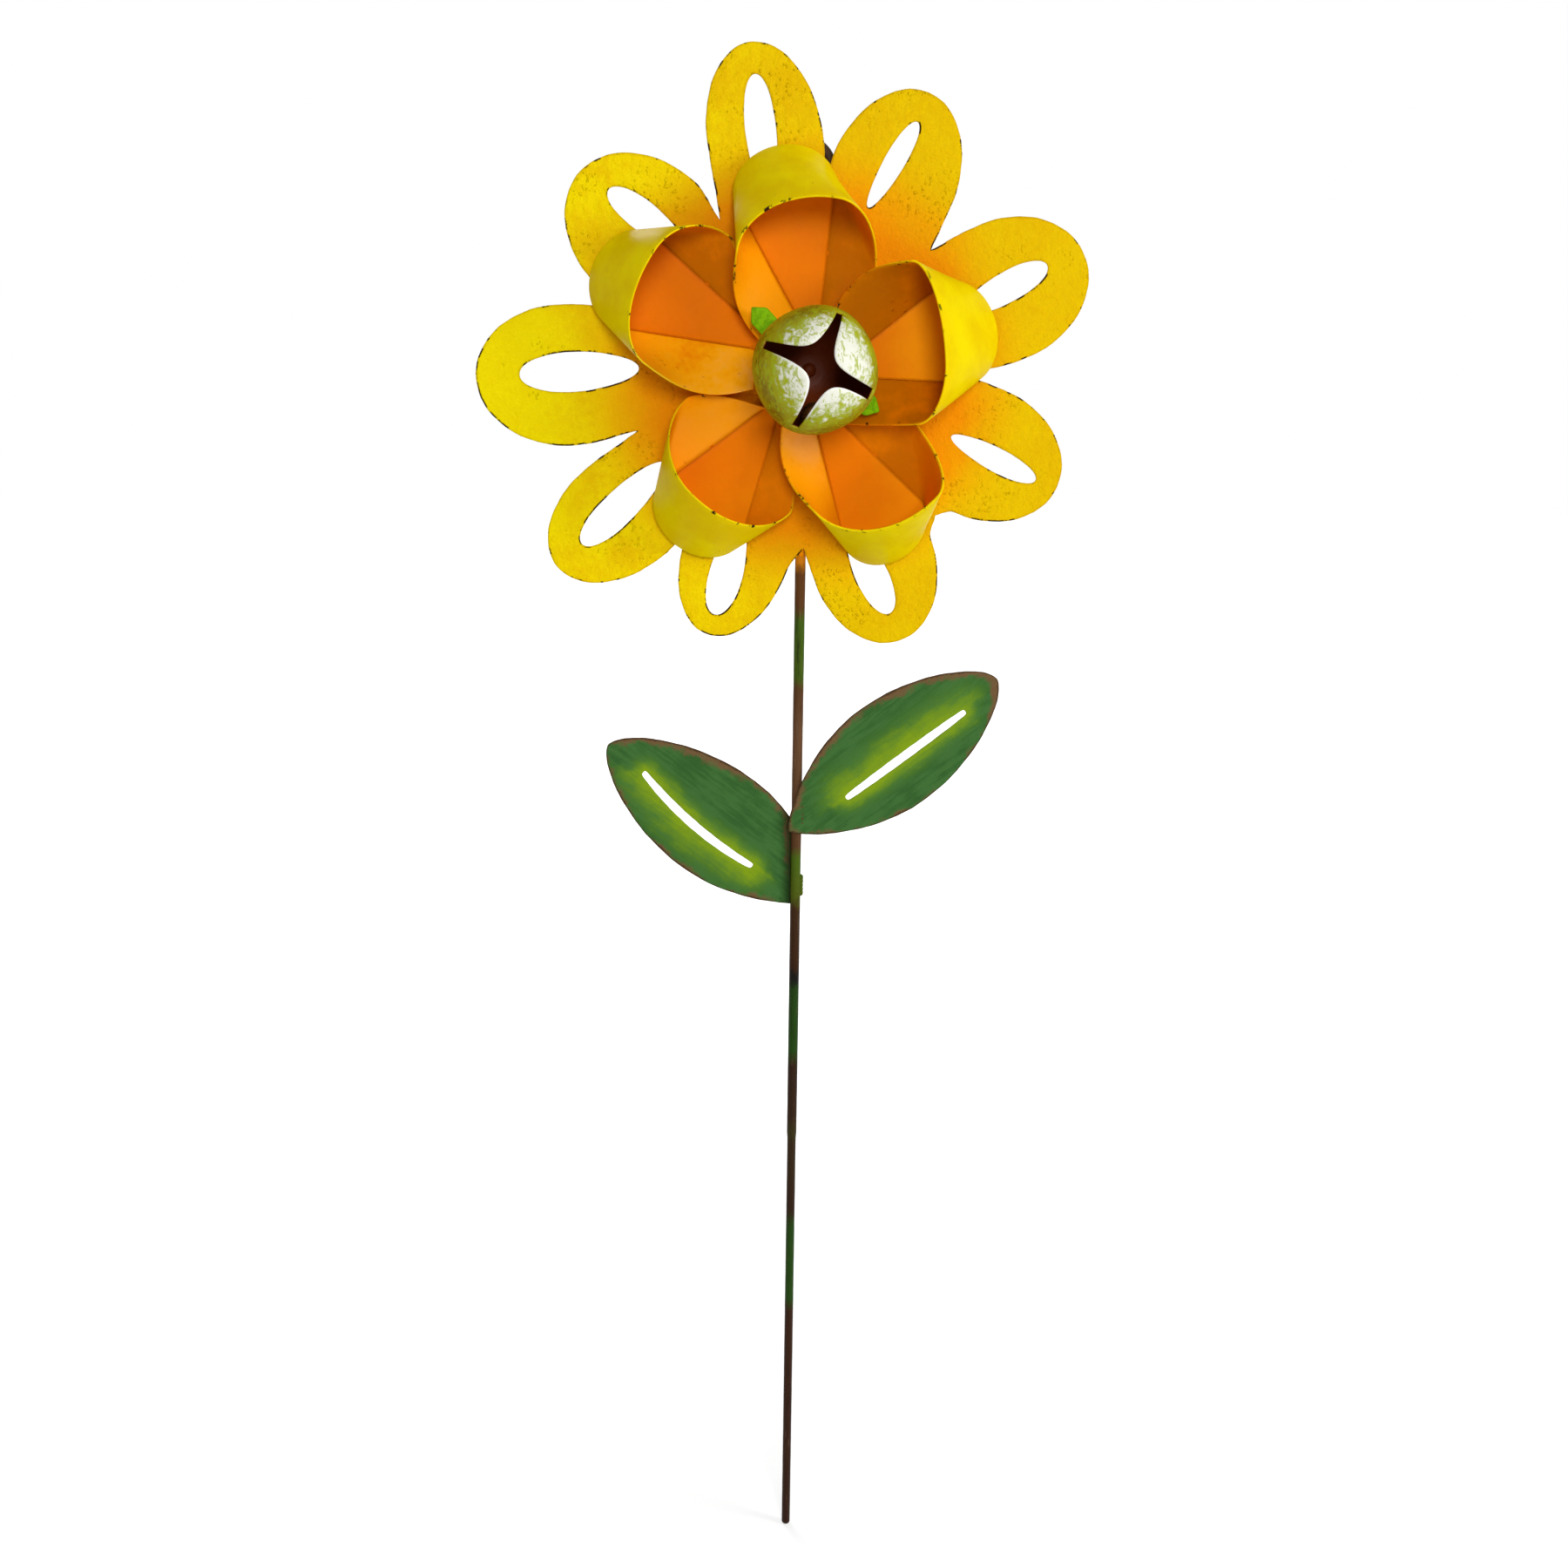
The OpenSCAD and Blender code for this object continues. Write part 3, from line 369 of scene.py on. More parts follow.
def makeLeafCoat(name, slope):
    look = leafPaint
    coat = Coat(name)
    turn = math.radians(slope)
    spot = coat.place()
    along = coat.along(spot, (math.cos(turn), 0, math.sin(turn)))
    side = coat.along(spot, (-math.sin(turn), 0, math.cos(turn)))
    lie = coat.node("CombineXYZ", None, {0: along * look["strokeLie"], 1: side, 2: 0.0})
    strokes = coat.grain(*look["strokes"], lie)
    cloud = coat.grain(*look["cloud"])
    speck = coat.grain(*look["speck"])
    body = coat.mix(coat.fade(strokes + cloud.sway(0.7), 0.34, 0.64), look["dark"], look["green"])
    # yellow green brushed along the slit
    cut = coat.mark("cut") + strokes.sway(9) + cloud.sway(12)
    body = coat.mix(coat.fade(cut, 14, 1) * 0.75, body, look["soft"])
    body = coat.mix(coat.fade(cut, 9, -1.5) * 0.9, body, look["glow"])
    # rust brown creeps in from the outer edge, most at the tip
    patch = coat.grain(*look["patch"])
    rim = coat.mark("rim") - coat.mark("rusty") * 4.5 + patch.sway(16) + speck.sway(5)
    body = coat.mix(coat.fade(rim, 2.1, -1.2) * 0.9, body, look["rust"])
    edge = coat.mark("rim") + speck.sway(1.6) + patch.sway(3)
    body = coat.mix(coat.fade(edge, 1.1, 0.3) * 0.8, body, look["burnt"])
    nicks = coat.fade(coat.grain(*look["nicks"]), 0.62, 0.68) * coat.fade(coat.mark("cut"), 1.6, 0.5)
    body = coat.mix(nicks, body, look["chip"])
    # painted shadow of the rod where the leaf meets it
    rodShadow = coat.fade(coat.mark("root") + strokes.sway(2), 6.5, 0.2) * 0.85
    body = coat.mix(rodShadow, body, look["shade"])
    skin = coat.relief(strokes, look["strokeDepth"])
    skin = coat.relief(speck, look["speckDepth"], skin)
    rough = look["rough"] + strokes.sway(0.3)
    return coat.done({"Base Color": body, "Roughness": rough, "Normal": skin, "Specular IOR Level": paintShine})


bellPaint = {
    "olive": tint(166, 156, 4), "moss": tint(132, 108, 0), "lime": tint(166, 180, 24), "white": tint(238, 238, 224),
    "inside": tint(112, 44, 8), "rim": tint(250, 250, 242), "rough": 0.42, "shine": 0.12,
    "blot": (5.0, 4, 0.6), "dab": (2.3, 4, 0.58), "fleck": (2.8, 4, 0.6), "fleckLie": (1.3, 1.3, 0.7),
    "cloud": (11, 3, 0.6), "blotDepth": 0.2, "dabDepth": 0.14,
}


def makeBellCoat(bellY):
    look = bellPaint
    coat = Coat("bellPaint")
    across, deep, up = coat.axes(coat.place())
    rise = up - hubZ
    front = (bellY - deep) / bell["radius"]  # 1 at the very front, 0 at the seam
    blot = coat.grain(*look["blot"], warp=0.8)
    dab = coat.grain(*look["dab"], warp=0.6)
    fleck = coat.grain(*look["fleck"], coat.place(look["fleckLie"]), 1.0)
    cloud = coat.grain(*look["cloud"])
    body = coat.mix(coat.fade(cloud + dab.sway(0.6), 0.36, 0.64), look["olive"], look["moss"])
    # painted light: how far round to the front, tilted towards the right and the top so the lime and the white reach
    # further there
    frontAndLitSide = front + across * 0.005 + rise * 0.003
    body = coat.mix(coat.fade(frontAndLitSide + dab.sway(0.7), 0.42, 0.72) * 0.85, body, look["lime"])
    # white dry-brushed over the front, pushed further round on the right and top as painted light, broken by the green
    # below
    dry = frontAndLitSide + blot.sway(0.8) + dab.sway(0.6)
    body = coat.mix(coat.fade(dry, 0.58, 0.84), body, look["white"])
    body = coat.mix(coat.fade(fleck, 0.5, 0.62) * 0.85, body, look["lime"])
    body = coat.mix(coat.fade(fleck, 0.42, 0.34) * coat.fade(frontAndLitSide, 0.9, 0.6) * 0.7, body, look["olive"])
    cut = coat.mark("cut")
    # painted highlight: white along the mouth's edges on the lower lobes, which face the lamps
    low = coat.fade(rise * 0.9 + across * 0.3, 4, -4)
    wornRimAndHighlight = coat.fade(cut + dab.sway(1.6), 0.9, 0.3) * coat.fade(frontAndLitSide, 0.5, 0.7) * low
    body = coat.mix(wornRimAndHighlight, body, look["rim"])
    body = coat.mix(coat.fade(coat.mark("inside"), 0.4, 0.6), body, look["inside"])
    skin = coat.relief(blot, look["blotDepth"])
    skin = coat.relief(dab, look["dabDepth"], skin)
    rough = look["rough"] + blot.sway(0.3)
    return coat.done({"Base Color": body, "Roughness": rough, "Normal": skin, "Specular IOR Level": look["shine"]})


strapPaint = {
    "green": tint(132, 188, 8), "deep": tint(98, 152, 4), "brushed": (2.4, 4, 0.6), "brushDepth": 0.08, "rough": 0.45,
}


def makeStrapCoat():
    look = strapPaint
    coat = Coat("strapPaint")
    brushed = coat.grain(*look["brushed"])
    body = coat.mix(coat.fade(brushed, 0.38, 0.68), look["green"], look["deep"])
    rim = coat.least(coat.mark("rim"), coat.mark("cut"))
    body = coat.mix(coat.fade(rim + (brushed - 0.5), 0.7, 0.2) * 0.5, body, look["deep"])
    return coat.done({"Base Color": body, "Roughness": look["rough"] + brushed.sway(0.2),
                      "Normal": coat.relief(brushed, look["brushDepth"]), "Specular IOR Level": paintShine})


zincPlate = {
    "bright": tint(196, 198, 200), "dull": tint(140, 142, 144), "rust": tint(118, 76, 44),
    "spangle": 1.4, "cloud": (3.2, 4, 0.6), "spots": (2.0, 5, 0.7), "cloudDepth": 0.03, "rough": 0.34,
}


def makeZincCoat():
    look = zincPlate
    coat = Coat("zincPlate")
    spangle = coat.flakes(look["spangle"])
    cloud = coat.grain(*look["cloud"])
    body = coat.mix(coat.fade(spangle + cloud.sway(0.5), 0.2, 0.6), look["bright"], look["dull"])
    spots = coat.fade(coat.grain(*look["spots"]), 0.63, 0.72)
    body = coat.mix(spots, body, look["rust"])
    rough = look["rough"] + cloud * 0.2 + spots * 0.3
    return coat.done({"Base Color": body, "Metallic": 1 - spots * 0.8, "Roughness": rough,
                      "Normal": coat.relief(cloud, look["cloudDepth"])})


brassBall = {
    "brass": tint(150, 100, 46), "tarnish": tint(84, 50, 24),
    "cloud": (2.6, 5, 0.65), "pits": (0.7, 3), "pitDepth": 0.05, "metal": 0.9, "rough": 0.3,
}


def makeBrassCoat():
    look = brassBall
    coat = Coat("tarnishedBrass")
    cloud = coat.grain(*look["cloud"])
    body = coat.mix(coat.fade(cloud, 0.4, 0.65), look["brass"], look["tarnish"])
    return coat.done({"Base Color": body, "Metallic": look["metal"], "Roughness": look["rough"] + cloud * 0.3,
                      "Normal": coat.relief(coat.grain(*look["pits"]), look["pitDepth"])})


waves = ((1.0, 1.0, 1.0), (0.6, 2.3, 1.7), (0.4, 4.9, 2.9))  # height, pace and shift of each


def wobble(along, seed):
    # a gentle unevenness between -1 and 1, the same each run
    return sum(high * np.sin(along * pace + seed * shift) for high, pace, shift in waves) / 2


def fullTurn(sides):
    return 2 * math.pi * np.arange(sides) / sides


def polar(reach, angle):
    turn = np.radians(angle)
    return np.stack([reach * np.cos(turn), reach * np.sin(turn)], -1)


def turned(points, angle):
    c, s = math.cos(math.radians(angle)), math.sin(math.radians(angle))
    points = np.asarray(points, float)
    return np.stack([points[..., 0] * c - points[..., 1] * s, points[..., 0] * s + points[..., 1] * c], -1)


def standUp(flat, deep):
    # a drawing seen from the front, set upright round the axle
    return np.stack([flat[:, 0], deep, flat[:, 1] + hubZ], 1)


def addPiece(name, points, faces, coat, body, nodes, marks=None, crease=40):
    # points in millimetres; the piece stands for the named nodes
    mesh = bpy.data.meshes.new(name)
    mesh.from_pydata([tuple(p) for p in np.asarray(points, float) * mm], [], faces)
    shell = bmesh.new()
    shell.from_mesh(mesh)
    bmesh.ops.recalc_face_normals(shell, faces=shell.faces)
    shell.to_mesh(mesh)
    shell.free()
    for key, values in (marks or {}).items():
        layer = mesh.attributes.new(key, "FLOAT", "POINT")
        layer.data.foreach_set("value", np.asarray(values, np.float32))
    mesh.polygons.foreach_set("use_smooth", [True] * len(mesh.polygons))
    mesh.set_sharp_from_angle(angle=math.radians(crease))
    mesh.materials.append(coat)
    piece = bpy.data.objects.new(name, mesh)
    bpy.context.scene.collection.objects.link(piece)
    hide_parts(*nodes)
    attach(piece, body)


def wind(ring, anticlockwise):
    ring = np.asarray(ring, float)
    ahead = np.roll(ring, -1, 0)
    area = np.sum(ring[:, 0] * ahead[:, 1] - ring[:, 1] * ahead[:, 0])
    return ring if (area > 0) == anticlockwise else ring[::-1]


def intoSheet(ring):
    # at each point of a cut, the way into the sheet
    def left(step):
        return np.stack([-step[:, 1], step[:, 0]], 1) / np.linalg.norm(step, axis=1)[:, None]
    after = left(np.roll(ring, -1, 0) - ring)
    both = after + left(ring - np.roll(ring, 1, 0))
    return both / np.maximum(np.sum(both * after, 1), 0.4)[:, None]


def ragged(ring, pace, seed, uneven):
    # a cut that wavers a little into the sheet
    along = np.cumsum(np.linalg.norm(ring - np.roll(ring, 1, 0), axis=1))
    return ring + intoSheet(ring) * ((1 - wobble(along * pace, seed)) * uneven / 2)[:, None]


tiny = 1e-12  # keeps a division from failing


def within(points, rings):
    # which points lie inside the outline and outside the holes
    x, y = points[:, 0, None], points[:, 1, None]
    hits = np.zeros(len(points), int)
    for ring in rings:
        (ax, ay), (bx, by) = ring.T, np.roll(ring, -1, 0).T
        rise = np.where(by == ay, tiny, by - ay)
        hits += np.sum(((ay > y) != (by > y)) & (x < ax + (y - ay) * (bx - ax) / rise), 1)
    return hits % 2 == 1


def edgeDistance(points, rings, batch=800):
    best = np.full(len(points), 99.0)
    for ring in rings:
        step = np.roll(ring, -1, 0) - ring
        size = np.maximum(np.sum(step * step, 1), tiny)
        for first in range(0, len(points), batch):
            part = slice(first, first + batch)
            away = points[part, None, :] - ring[None]
            share = np.clip(np.sum(away * step[None], 2) / size, 0, 1)
            gap = np.linalg.norm(away - share[..., None] * step[None], axis=2).min(1)
            best[part] = np.minimum(best[part], gap)
    return best


# how a cut sheet is meshed: rows of points along the cuts, then a grid, as shares of their spacing
cutting = {"rows": (1.0, 2.3), "rowClear": 0.93, "gridRise": 0.87, "gridClear": 0.45, "softEdge": 0.3, "merge": 1e-5}


def cutSheet(outline, holes, thick, rounding, gridStep, rows=cutting["rows"]):
    # a flat sheet with rounded edges: its flat points, heights, distances from the cuts, and faces
    rings = [wind(outline, True)] + [wind(h, False) for h in holes]
    ways = [intoSheet(r) for r in rings]
    flats = [r + w * rounding for r, w in zip(rings, ways)]
    points, edges = [], []
    for ring in flats:
        first = sum(len(p) for p in points)
        count = len(ring)
        edges += [(first + i, first + (i + 1) % count) for i in range(count)]
        points.append(ring)
    for row in rows:
        for ring, way in zip(rings, ways):
            line = (ring + way * row)[::2]
            points.append(line[edgeDistance(line, rings) > row * cutting["rowClear"]])
    low, high = rings[0].min(0), rings[0].max(0)
    grid = np.array([(x + (j % 2) * gridStep / 2, y)
                     for j, y in enumerate(np.arange(low[1], high[1], gridStep * cutting["gridRise"]))
                     for x in np.arange(low[0], high[0], gridStep)])
    grid = grid[within(grid, rings)]
    points.append(grid[edgeDistance(grid, rings) > rows[-1] + gridStep * cutting["gridClear"]])
    flat = np.concatenate(points)
    made = geometry.delaunay_2d_cdt([Vector(p) for p in flat], edges, [], 0, cutting["merge"])
    spots = np.array([tuple(v) for v in made[0]])
    tris = np.array([f[:3] for f in made[2]])
    tris = tris[within(spots[tris].mean(1), flats)]
    home = {}
    for i, sources in enumerate(made[3]):
        for s in sources:
            home[s] = i
    count = len(spots)
    allFlat = [spots, spots]
    allHigh = [np.full(count, thick / 2), np.full(count, -thick / 2)]
    faces = [tuple(int(i) for i in t) for t in tris]
    faces += [tuple(i + count for i in t[::-1]) for t in faces]
    start, at = 0, 2 * count
    soft = rounding * cutting["softEdge"]
    edgeHeights = (thick / 2 - soft, thick / 2 - rounding, rounding - thick / 2, soft - thick / 2)
    for ring, way in zip(rings, ways):
        n = len(ring)
        eased = ring + way * soft
        allFlat += [eased, ring, ring, eased]
        allHigh += [np.full(n, h) for h in edgeHeights]
        ladder = [[home[start + i] for i in range(n)]]
        ladder += [list(range(at + k * n, at + (k + 1) * n)) for k in range(4)]
        ladder.append([home[start + i] + count for i in range(n)])
        for a, b in zip(ladder, ladder[1:]):
            faces += [(a[i], a[(i + 1) % n], b[(i + 1) % n], b[i]) for i in range(n)]
        start += n
        at += 4 * n
    flat, high = np.concatenate(allFlat), np.concatenate(allHigh)
    marks = {"rim": edgeDistance(flat, rings[:1]), "cut": edgeDistance(flat, rings[1:])}
    return flat, high, marks, faces


def spin(rows, sides, closed):
    # rings of points round an axis; rows give a radius and a station, and a radius of 0 is a pole
    angles = fullTurn(sides)
    points, ladder = [], []
    for radius, place in rows:
        first = len(points)
        if np.ndim(radius) == 0 and radius == 0:
            points.append((0.0, 0.0, place))
            ladder.append([first])
        else:
            radius = np.broadcast_to(radius, sides)
            points += [(r * math.cos(a), r * math.sin(a), place) for r, a in zip(radius, angles)]
            ladder.append(list(range(first, first + sides)))
    faces = []
    for a, b in zip(ladder, ladder[1:] + ladder[:1] if closed else ladder[1:]):
        for i in range(sides):
            j = (i + 1) % sides
            if len(a) == 1 and len(b) > 1:
                faces.append((a[0], b[i], b[j]))
            elif len(b) == 1 and len(a) > 1:
                faces.append((a[i], b[0], a[j]))
            elif len(a) > 1:
                faces.append((a[i], b[i], b[j], a[j]))
    return np.array(points), faces


def onAxle(points, at=(0.0, 0.0)):
    # a turned shape laid along the axle: its station becomes y
    return np.stack([points[:, 0] + at[0], points[:, 2], points[:, 1] + hubZ + at[1]], 1)


def tubeFaces(rings, count):
    # quads between rings of count points each
    return [(i * count + k, (i + 1) * count + k, (i + 1) * count + (k + 1) % count, i * count + (k + 1) % count)
            for i in range(rings - 1) for k in range(count)]


def join(shapes):
    points, faces, first = [], [], 0
    for p, f in shapes:
        faces += [tuple(i + first for i in face) for face in f]
        points.append(p)
        first += len(p)
    return np.concatenate(points), faces


farFromEdge = 20.0  # stands for no edge nearby, in the marks of an edge

yellowCoat = makeYellowCoat()
loopCoat = makeLoopCoat()
orangeCoat = makeOrangeCoat()
stemCoat = makeStemCoat()
strapCoat = makeStrapCoat()
zincCoat = makeZincCoat()
brassCoat = makeBrassCoat()
print("finishes mixed")

stem = {
    "radius": 2.4, "spikeRadius": 2.15, "sides": 28, "step": 3.0, "uneven": 0.05, "shoulder": 0.8, "calmTop": 20,
    "tip": ((0.75, 0), (0.3, 0.3), (0.06, 0.8)),  # how far the tip is cut back, and at which height
}


def makeStem():
    low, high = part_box("stake")
    bottom, top = low.z / mm, high.z / mm
    spike, uneven = stem["spikeRadius"], stem["uneven"]
    rows = [(0, bottom)] + [(spike - cut, bottom + rise) for cut, rise in stem["tip"]]
    angles = fullTurn(stem["sides"])
    for z in np.arange(bottom + 2, top - 1, stem["step"]):
        share = min(max((z / stem["shoulder"] + 1) / 2, 0), 1)
        calm = min((top - z) / stem["calmTop"], 1)
        lumps = wobble(z * 0.21 + np.sin(angles), 1.3) + wobble(z * 0.55 + 2 * np.cos(angles), 4.1) * 0.5
        rows.append((spike + (stem["radius"] - spike) * share + uneven * calm * (lumps * 0.6 - 1), z))
    rows += [(stem["radius"], top), (0, top)]
    points, faces = spin(rows, stem["sides"], False)
    addPiece("paintedStem", points, faces, stemCoat, "stand", ["stake"])


makeStem()

scroll = {
    "rise": 80, "radius": 13, "lead": 32, "turns": 1.5, "gap": 0.8, "wire": 4.8, "bendSteps": 22, "turnSteps": 60,
    "lump": 0.012, "plainSteps": 4, "filed": ((0.25, 0.93), (0.45, 0.75)),  # the sawn end, its edge filed round
}


def makeScroll():
    middle = hubZ + scroll["rise"]
    bendZ = middle - scroll["lead"]
    path = [(0, bendZ - scroll["wire"]), (0, bendZ - scroll["wire"] / 2), (0, bendZ)]
    for i in range(1, scroll["bendSteps"] + 1):
        t = i / scroll["bendSteps"]
        path.append((-scroll["radius"] * t * t * (3 - 2 * t), bendZ + scroll["lead"] * t))
    pitch = scroll["wire"] + scroll["gap"]
    for i in range(1, int(scroll["turnSteps"] * scroll["turns"]) + 1):
        turn = i / scroll["turnSteps"]
        x, z = polar(scroll["radius"] - pitch * turn, 180 - 360 * turn)
        path.append((x, z + middle))
    path = np.array(path)
    along = np.gradient(path, axis=0)
    along /= np.linalg.norm(along, axis=1)[:, None]
    side = np.stack([along[:, 1], -along[:, 0]], 1)
    angles = fullTurn(stem["sides"])

    def wireRing(spot, across, radius):
        out = radius * np.cos(angles)
        return np.stack([spot[0] + out * across[0], radius * np.sin(angles), spot[1] + out * across[1]], 1)

    radius, rings = scroll["wire"] / 2, []
    for i, (spot, across) in enumerate(zip(path, side)):
        lumps = scroll["lump"] * (wobble(i * 0.5 + np.sin(angles), 2.2) - 1)
        rings.append(wireRing(spot, across, radius * (1 + lumps) if i >= scroll["plainSteps"] else radius))
    for beyond, share in scroll["filed"]:
        rings.append(wireRing(path[-1] + along[-1] * beyond, side[-1], radius * share))
    count = len(angles)
    last = count * (len(rings) - 1)
    faces = tubeFaces(len(rings), count) + [tuple(range(count)), tuple(range(last, last + count))]
    addPiece("rolledTop", np.concatenate(rings), faces, stemCoat, "stand", ["top_scroll"])


makeScroll()
print("stem and scroll drawn")

backFlower = {
    # direction, reach, half-width, radius of the notch that follows
    "petals": [
        (21.4, 1.008, 1.09, 0.948), (65, 0.953, 1, 0.87), (100.8, 1.02, 0.889, 0.909),
        (141.3, 0.949, 1.085, 0.987), (182, 1.082, 1.074, 0.987), (218.2, 1.059, 0.92, 1.12),
        (250, 0.945, 0.87, 0.987), (291.5, 0.977, 1.019, 1.104), (336.6, 0.96, 1.045, 0.909),
    ],
    # direction, sideways shift, outer end, width
    "slots": [
        (28.5, -0.81, 0.982, 0.992), (59.5, 0.897, 0.956, 0.675), (96.9, 0.62, 1.035, 0.992),
        (145, -0.865, 0.943, 0.952), (184, -0.39, 1.053, 1.27), (224, -1.032, 1.053, 1.111),
        (254.5, -0.683, 0.974, 1.151), (297, -0.921, 0.974, 1.111), (334, 0.333, 0.987, 0.794),
    ],
    "reach": 128, "halfWidth": 27, "tipLength": 37.5, "notch": 77, "slotRoot": 70, "slotEnd": 114, "slotWidth": 12.6,
    "slotEgg": 0.15, "sideLead": 0.3, "shoulderLead": 0.4, "sideSteps": 22, "tipSteps": 22, "slotSteps": 60,
    "uneven": 0.3, "slotUneven": 0.02, "bow": 0.25, "bowFrom": 60, "bowOver": 60, "rounding": 0.34, "bore": 2.02,
    "grid": 4.2,
}


def bezier(p, q, r, s, t):
    t = t[:, None]
    return (1 - t) ** 3 * p + 3 * t * (1 - t) ** 2 * q + 3 * t * t * (1 - t) * r + t ** 3 * s


def petalSide(start, end):
    lead = (end - start) * backFlower["sideLead"]
    shoulder = np.array([max(end[0] - start[0], 0) * backFlower["shoulderLead"], 0])
    steps = np.arange(backFlower["sideSteps"]) / backFlower["sideSteps"]
    return bezier(start, start + lead, end - shoulder, end, steps)


def flowerOutline():
    petals, outline = backFlower["petals"], []
    count = len(petals)
    for i, (way, reach, width, notch) in enumerate(petals):
        wayBefore, _, _, notchBefore = petals[i - 1]
        wayAfter = petals[(i + 1) % count][0]
        firstWay = (wayBefore + way) / 2 - (180 if i == 0 else 0) - way
        lastWay = (way + wayAfter) / 2 + (180 if i == count - 1 else 0) - way
        start = polar(backFlower["notch"] * notchBefore, firstWay)
        end = polar(backFlower["notch"] * notch, lastWay)
        shoulder = backFlower["reach"] * reach - backFlower["tipLength"]
        half = backFlower["halfWidth"] * width
        sweep = np.radians(np.linspace(-90, 90, 2 * backFlower["tipSteps"] + 1))
        tip = np.stack([shoulder + backFlower["tipLength"] * np.cos(sweep), half * np.sin(sweep)], 1)
        first = petalSide(start, np.array([shoulder, -half]))
        last = petalSide(end, np.array([shoulder, half]))[:0:-1]
        outline.append(turned(np.concatenate([first, tip, last]), way))
    return ragged(np.concatenate(outline), 0.35, 0.7, backFlower["uneven"])


def slotOutline(slot):
    way, shift, end, width = slot
    half = (backFlower["slotEnd"] * end - backFlower["slotRoot"]) / 2
    wide = backFlower["slotWidth"] * width / 2
    turn = fullTurn(backFlower["slotSteps"])
    egg = 1 + backFlower["slotEgg"] * np.cos(turn)
    rough = 1 + backFlower["slotUneven"] * wobble(turn * 4, way)
    ring = np.stack([backFlower["slotRoot"] + half + half * np.cos(turn),
                     backFlower["slotWidth"] * shift + wide * np.sin(turn) * egg * rough], 1)
    return turned(ring, way)


def roundHole(radius, at=(0, 0), steps=40):
    return polar(radius, np.linspace(0, 360, steps, endpoint=False)) + np.asarray(at, float)


def makeBackFlower():
    back, front = station("back_flower")
    holes = [slotOutline(s) for s in backFlower["slots"]] + [roundHole(backFlower["bore"])]
    flat, high, marks, faces = cutSheet(flowerOutline(), holes, back - front,
                                        backFlower["rounding"], backFlower["grid"])
    far = (np.linalg.norm(flat, axis=1) - backFlower["bowFrom"]) / backFlower["bowOver"]
    bow = backFlower["bow"] * np.clip(far, 0, 1) * wobble(np.arctan2(flat[:, 1], flat[:, 0]) * 3, 0.4)
    points = standUp(flat, (back + front) / 2 - high + bow)
    points[:, 2] = np.minimum(points[:, 2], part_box("back_flower")[1].z / mm)
    addPiece("slottedBackFlower", points, faces, yellowCoat, "stand", ["back_flower"], marks)


makeBackFlower()
print("back flower cut")

loops = {
    # the rim's direction, widest place, reach and half-widths, and how its sides lie: 0 straight under
    # the neighbour, 1 over it, 2 round under it; the base's direction, half spread and reach; the ends'
    # direction and distance, with the spread of the rim there; and on which inside walls lie painted shade,
    # painted light or a gloss coat. Of a pair, the anticlockwise side comes first, as seen from the front.
    "right": {
        "rimWay": 4.2, "middle": 1.007, "reach": 0.788, "half": (1.343, 0.813), "lie": (1, 1), "thick": 1.15,
        "baseWay": 17.8, "spread": 20.1, "baseReach": 0.945, "endWay": 1.6, "endReach": 1, "rimSpread": (49, 80),
        "dull": (0.9, 0.9), "amber": (0, 0), "gloss": (0, 0),
    },
    "top": {
        "rimWay": 82, "middle": 0.953, "reach": 0.962, "half": (1.217, 0.75), "lie": (1, 2), "thick": 0.99,
        "baseWay": 102.5, "spread": 18, "baseReach": 1.016, "endWay": 81, "endReach": 1, "rimSpread": (47, 80),
        "dull": (0, 0.9), "amber": (0.6, 0), "gloss": (0, 0),
    },
    "left": {
        "rimWay": 144, "middle": 1.293, "reach": 1.125, "half": (1.28, 0.793), "lie": (1, 0), "thick": 0.84,
        "baseWay": 156, "spread": 16.6, "baseReach": 1.096, "endWay": 150, "endReach": 1.324, "rimSpread": (43, 80),
        "dull": (0, 1.0), "amber": (1.0, 0), "gloss": (0.9, 0),
    },
    "lower_left": {
        "rimWay": 223.5, "middle": 1.049, "reach": 1.01, "half": (1.3, 0.867), "lie": (2, 2), "thick": 0.9,
        "baseWay": 235, "spread": 19.1, "baseReach": 1.034, "endWay": 230.7, "endReach": 1.324, "rimSpread": (80, 80),
        "dull": (0.6, 0), "amber": (0, 0.6), "gloss": (0, 0.2),
    },
    "lower_right": {
        "rimWay": 316.7, "middle": 0.97, "reach": 1.055, "half": (0.573, 1.327), "lie": (2, 1), "thick": 1.15,
        "baseWay": 301.2, "spread": 16.6, "baseReach": 1.018, "endWay": 291.2, "endReach": 1.088, "rimSpread": (80, 57),
        "dull": (0.7, 0), "amber": (0, 0.6), "gloss": (0, 0.1),
    },
}
ribbon = {
    "thick": 0.9, "rootRadius": 17, "rootHalf": 2.4, "rimRoot": 24, "middle": 43, "reach": 69, "halfWidth": 30,
    "baseReach": 89, "baseEnd": 16, "rootHeights": (10, 3), "sideHeights": (24, 6.5), "endHeight": 32, "belly": 1.0,
    "rootLean": 1, "sideBends": (1, 3, 1.6), "legShare": 0.5, "steps": 190, "across": 10, "drop": 1.0, "uneven": 0.22,
    # the rounded edges, and how much of the inside's spray is on them
    "lip": 0.9, "curl": (65, 35, 0, -35, -65), "lipSpray": (0, 0.2, 0.5, 0.8, 1), "hemSpray": (1, 0.6, 0.4, 0.2, 0),
    "heartDepth": 15, "probe": 0.002, "crease": 55,
}


def ribbonPlace(t):
    arc = np.radians(90 * (1 - np.minimum(np.abs(t) / (1 - ribbon["legShare"]), 1)))
    leg = np.maximum((np.abs(t) - 1 + ribbon["legShare"]) / ribbon["legShare"], 0)
    return np.where(t < 0, 1.0, -1.0), arc, leg


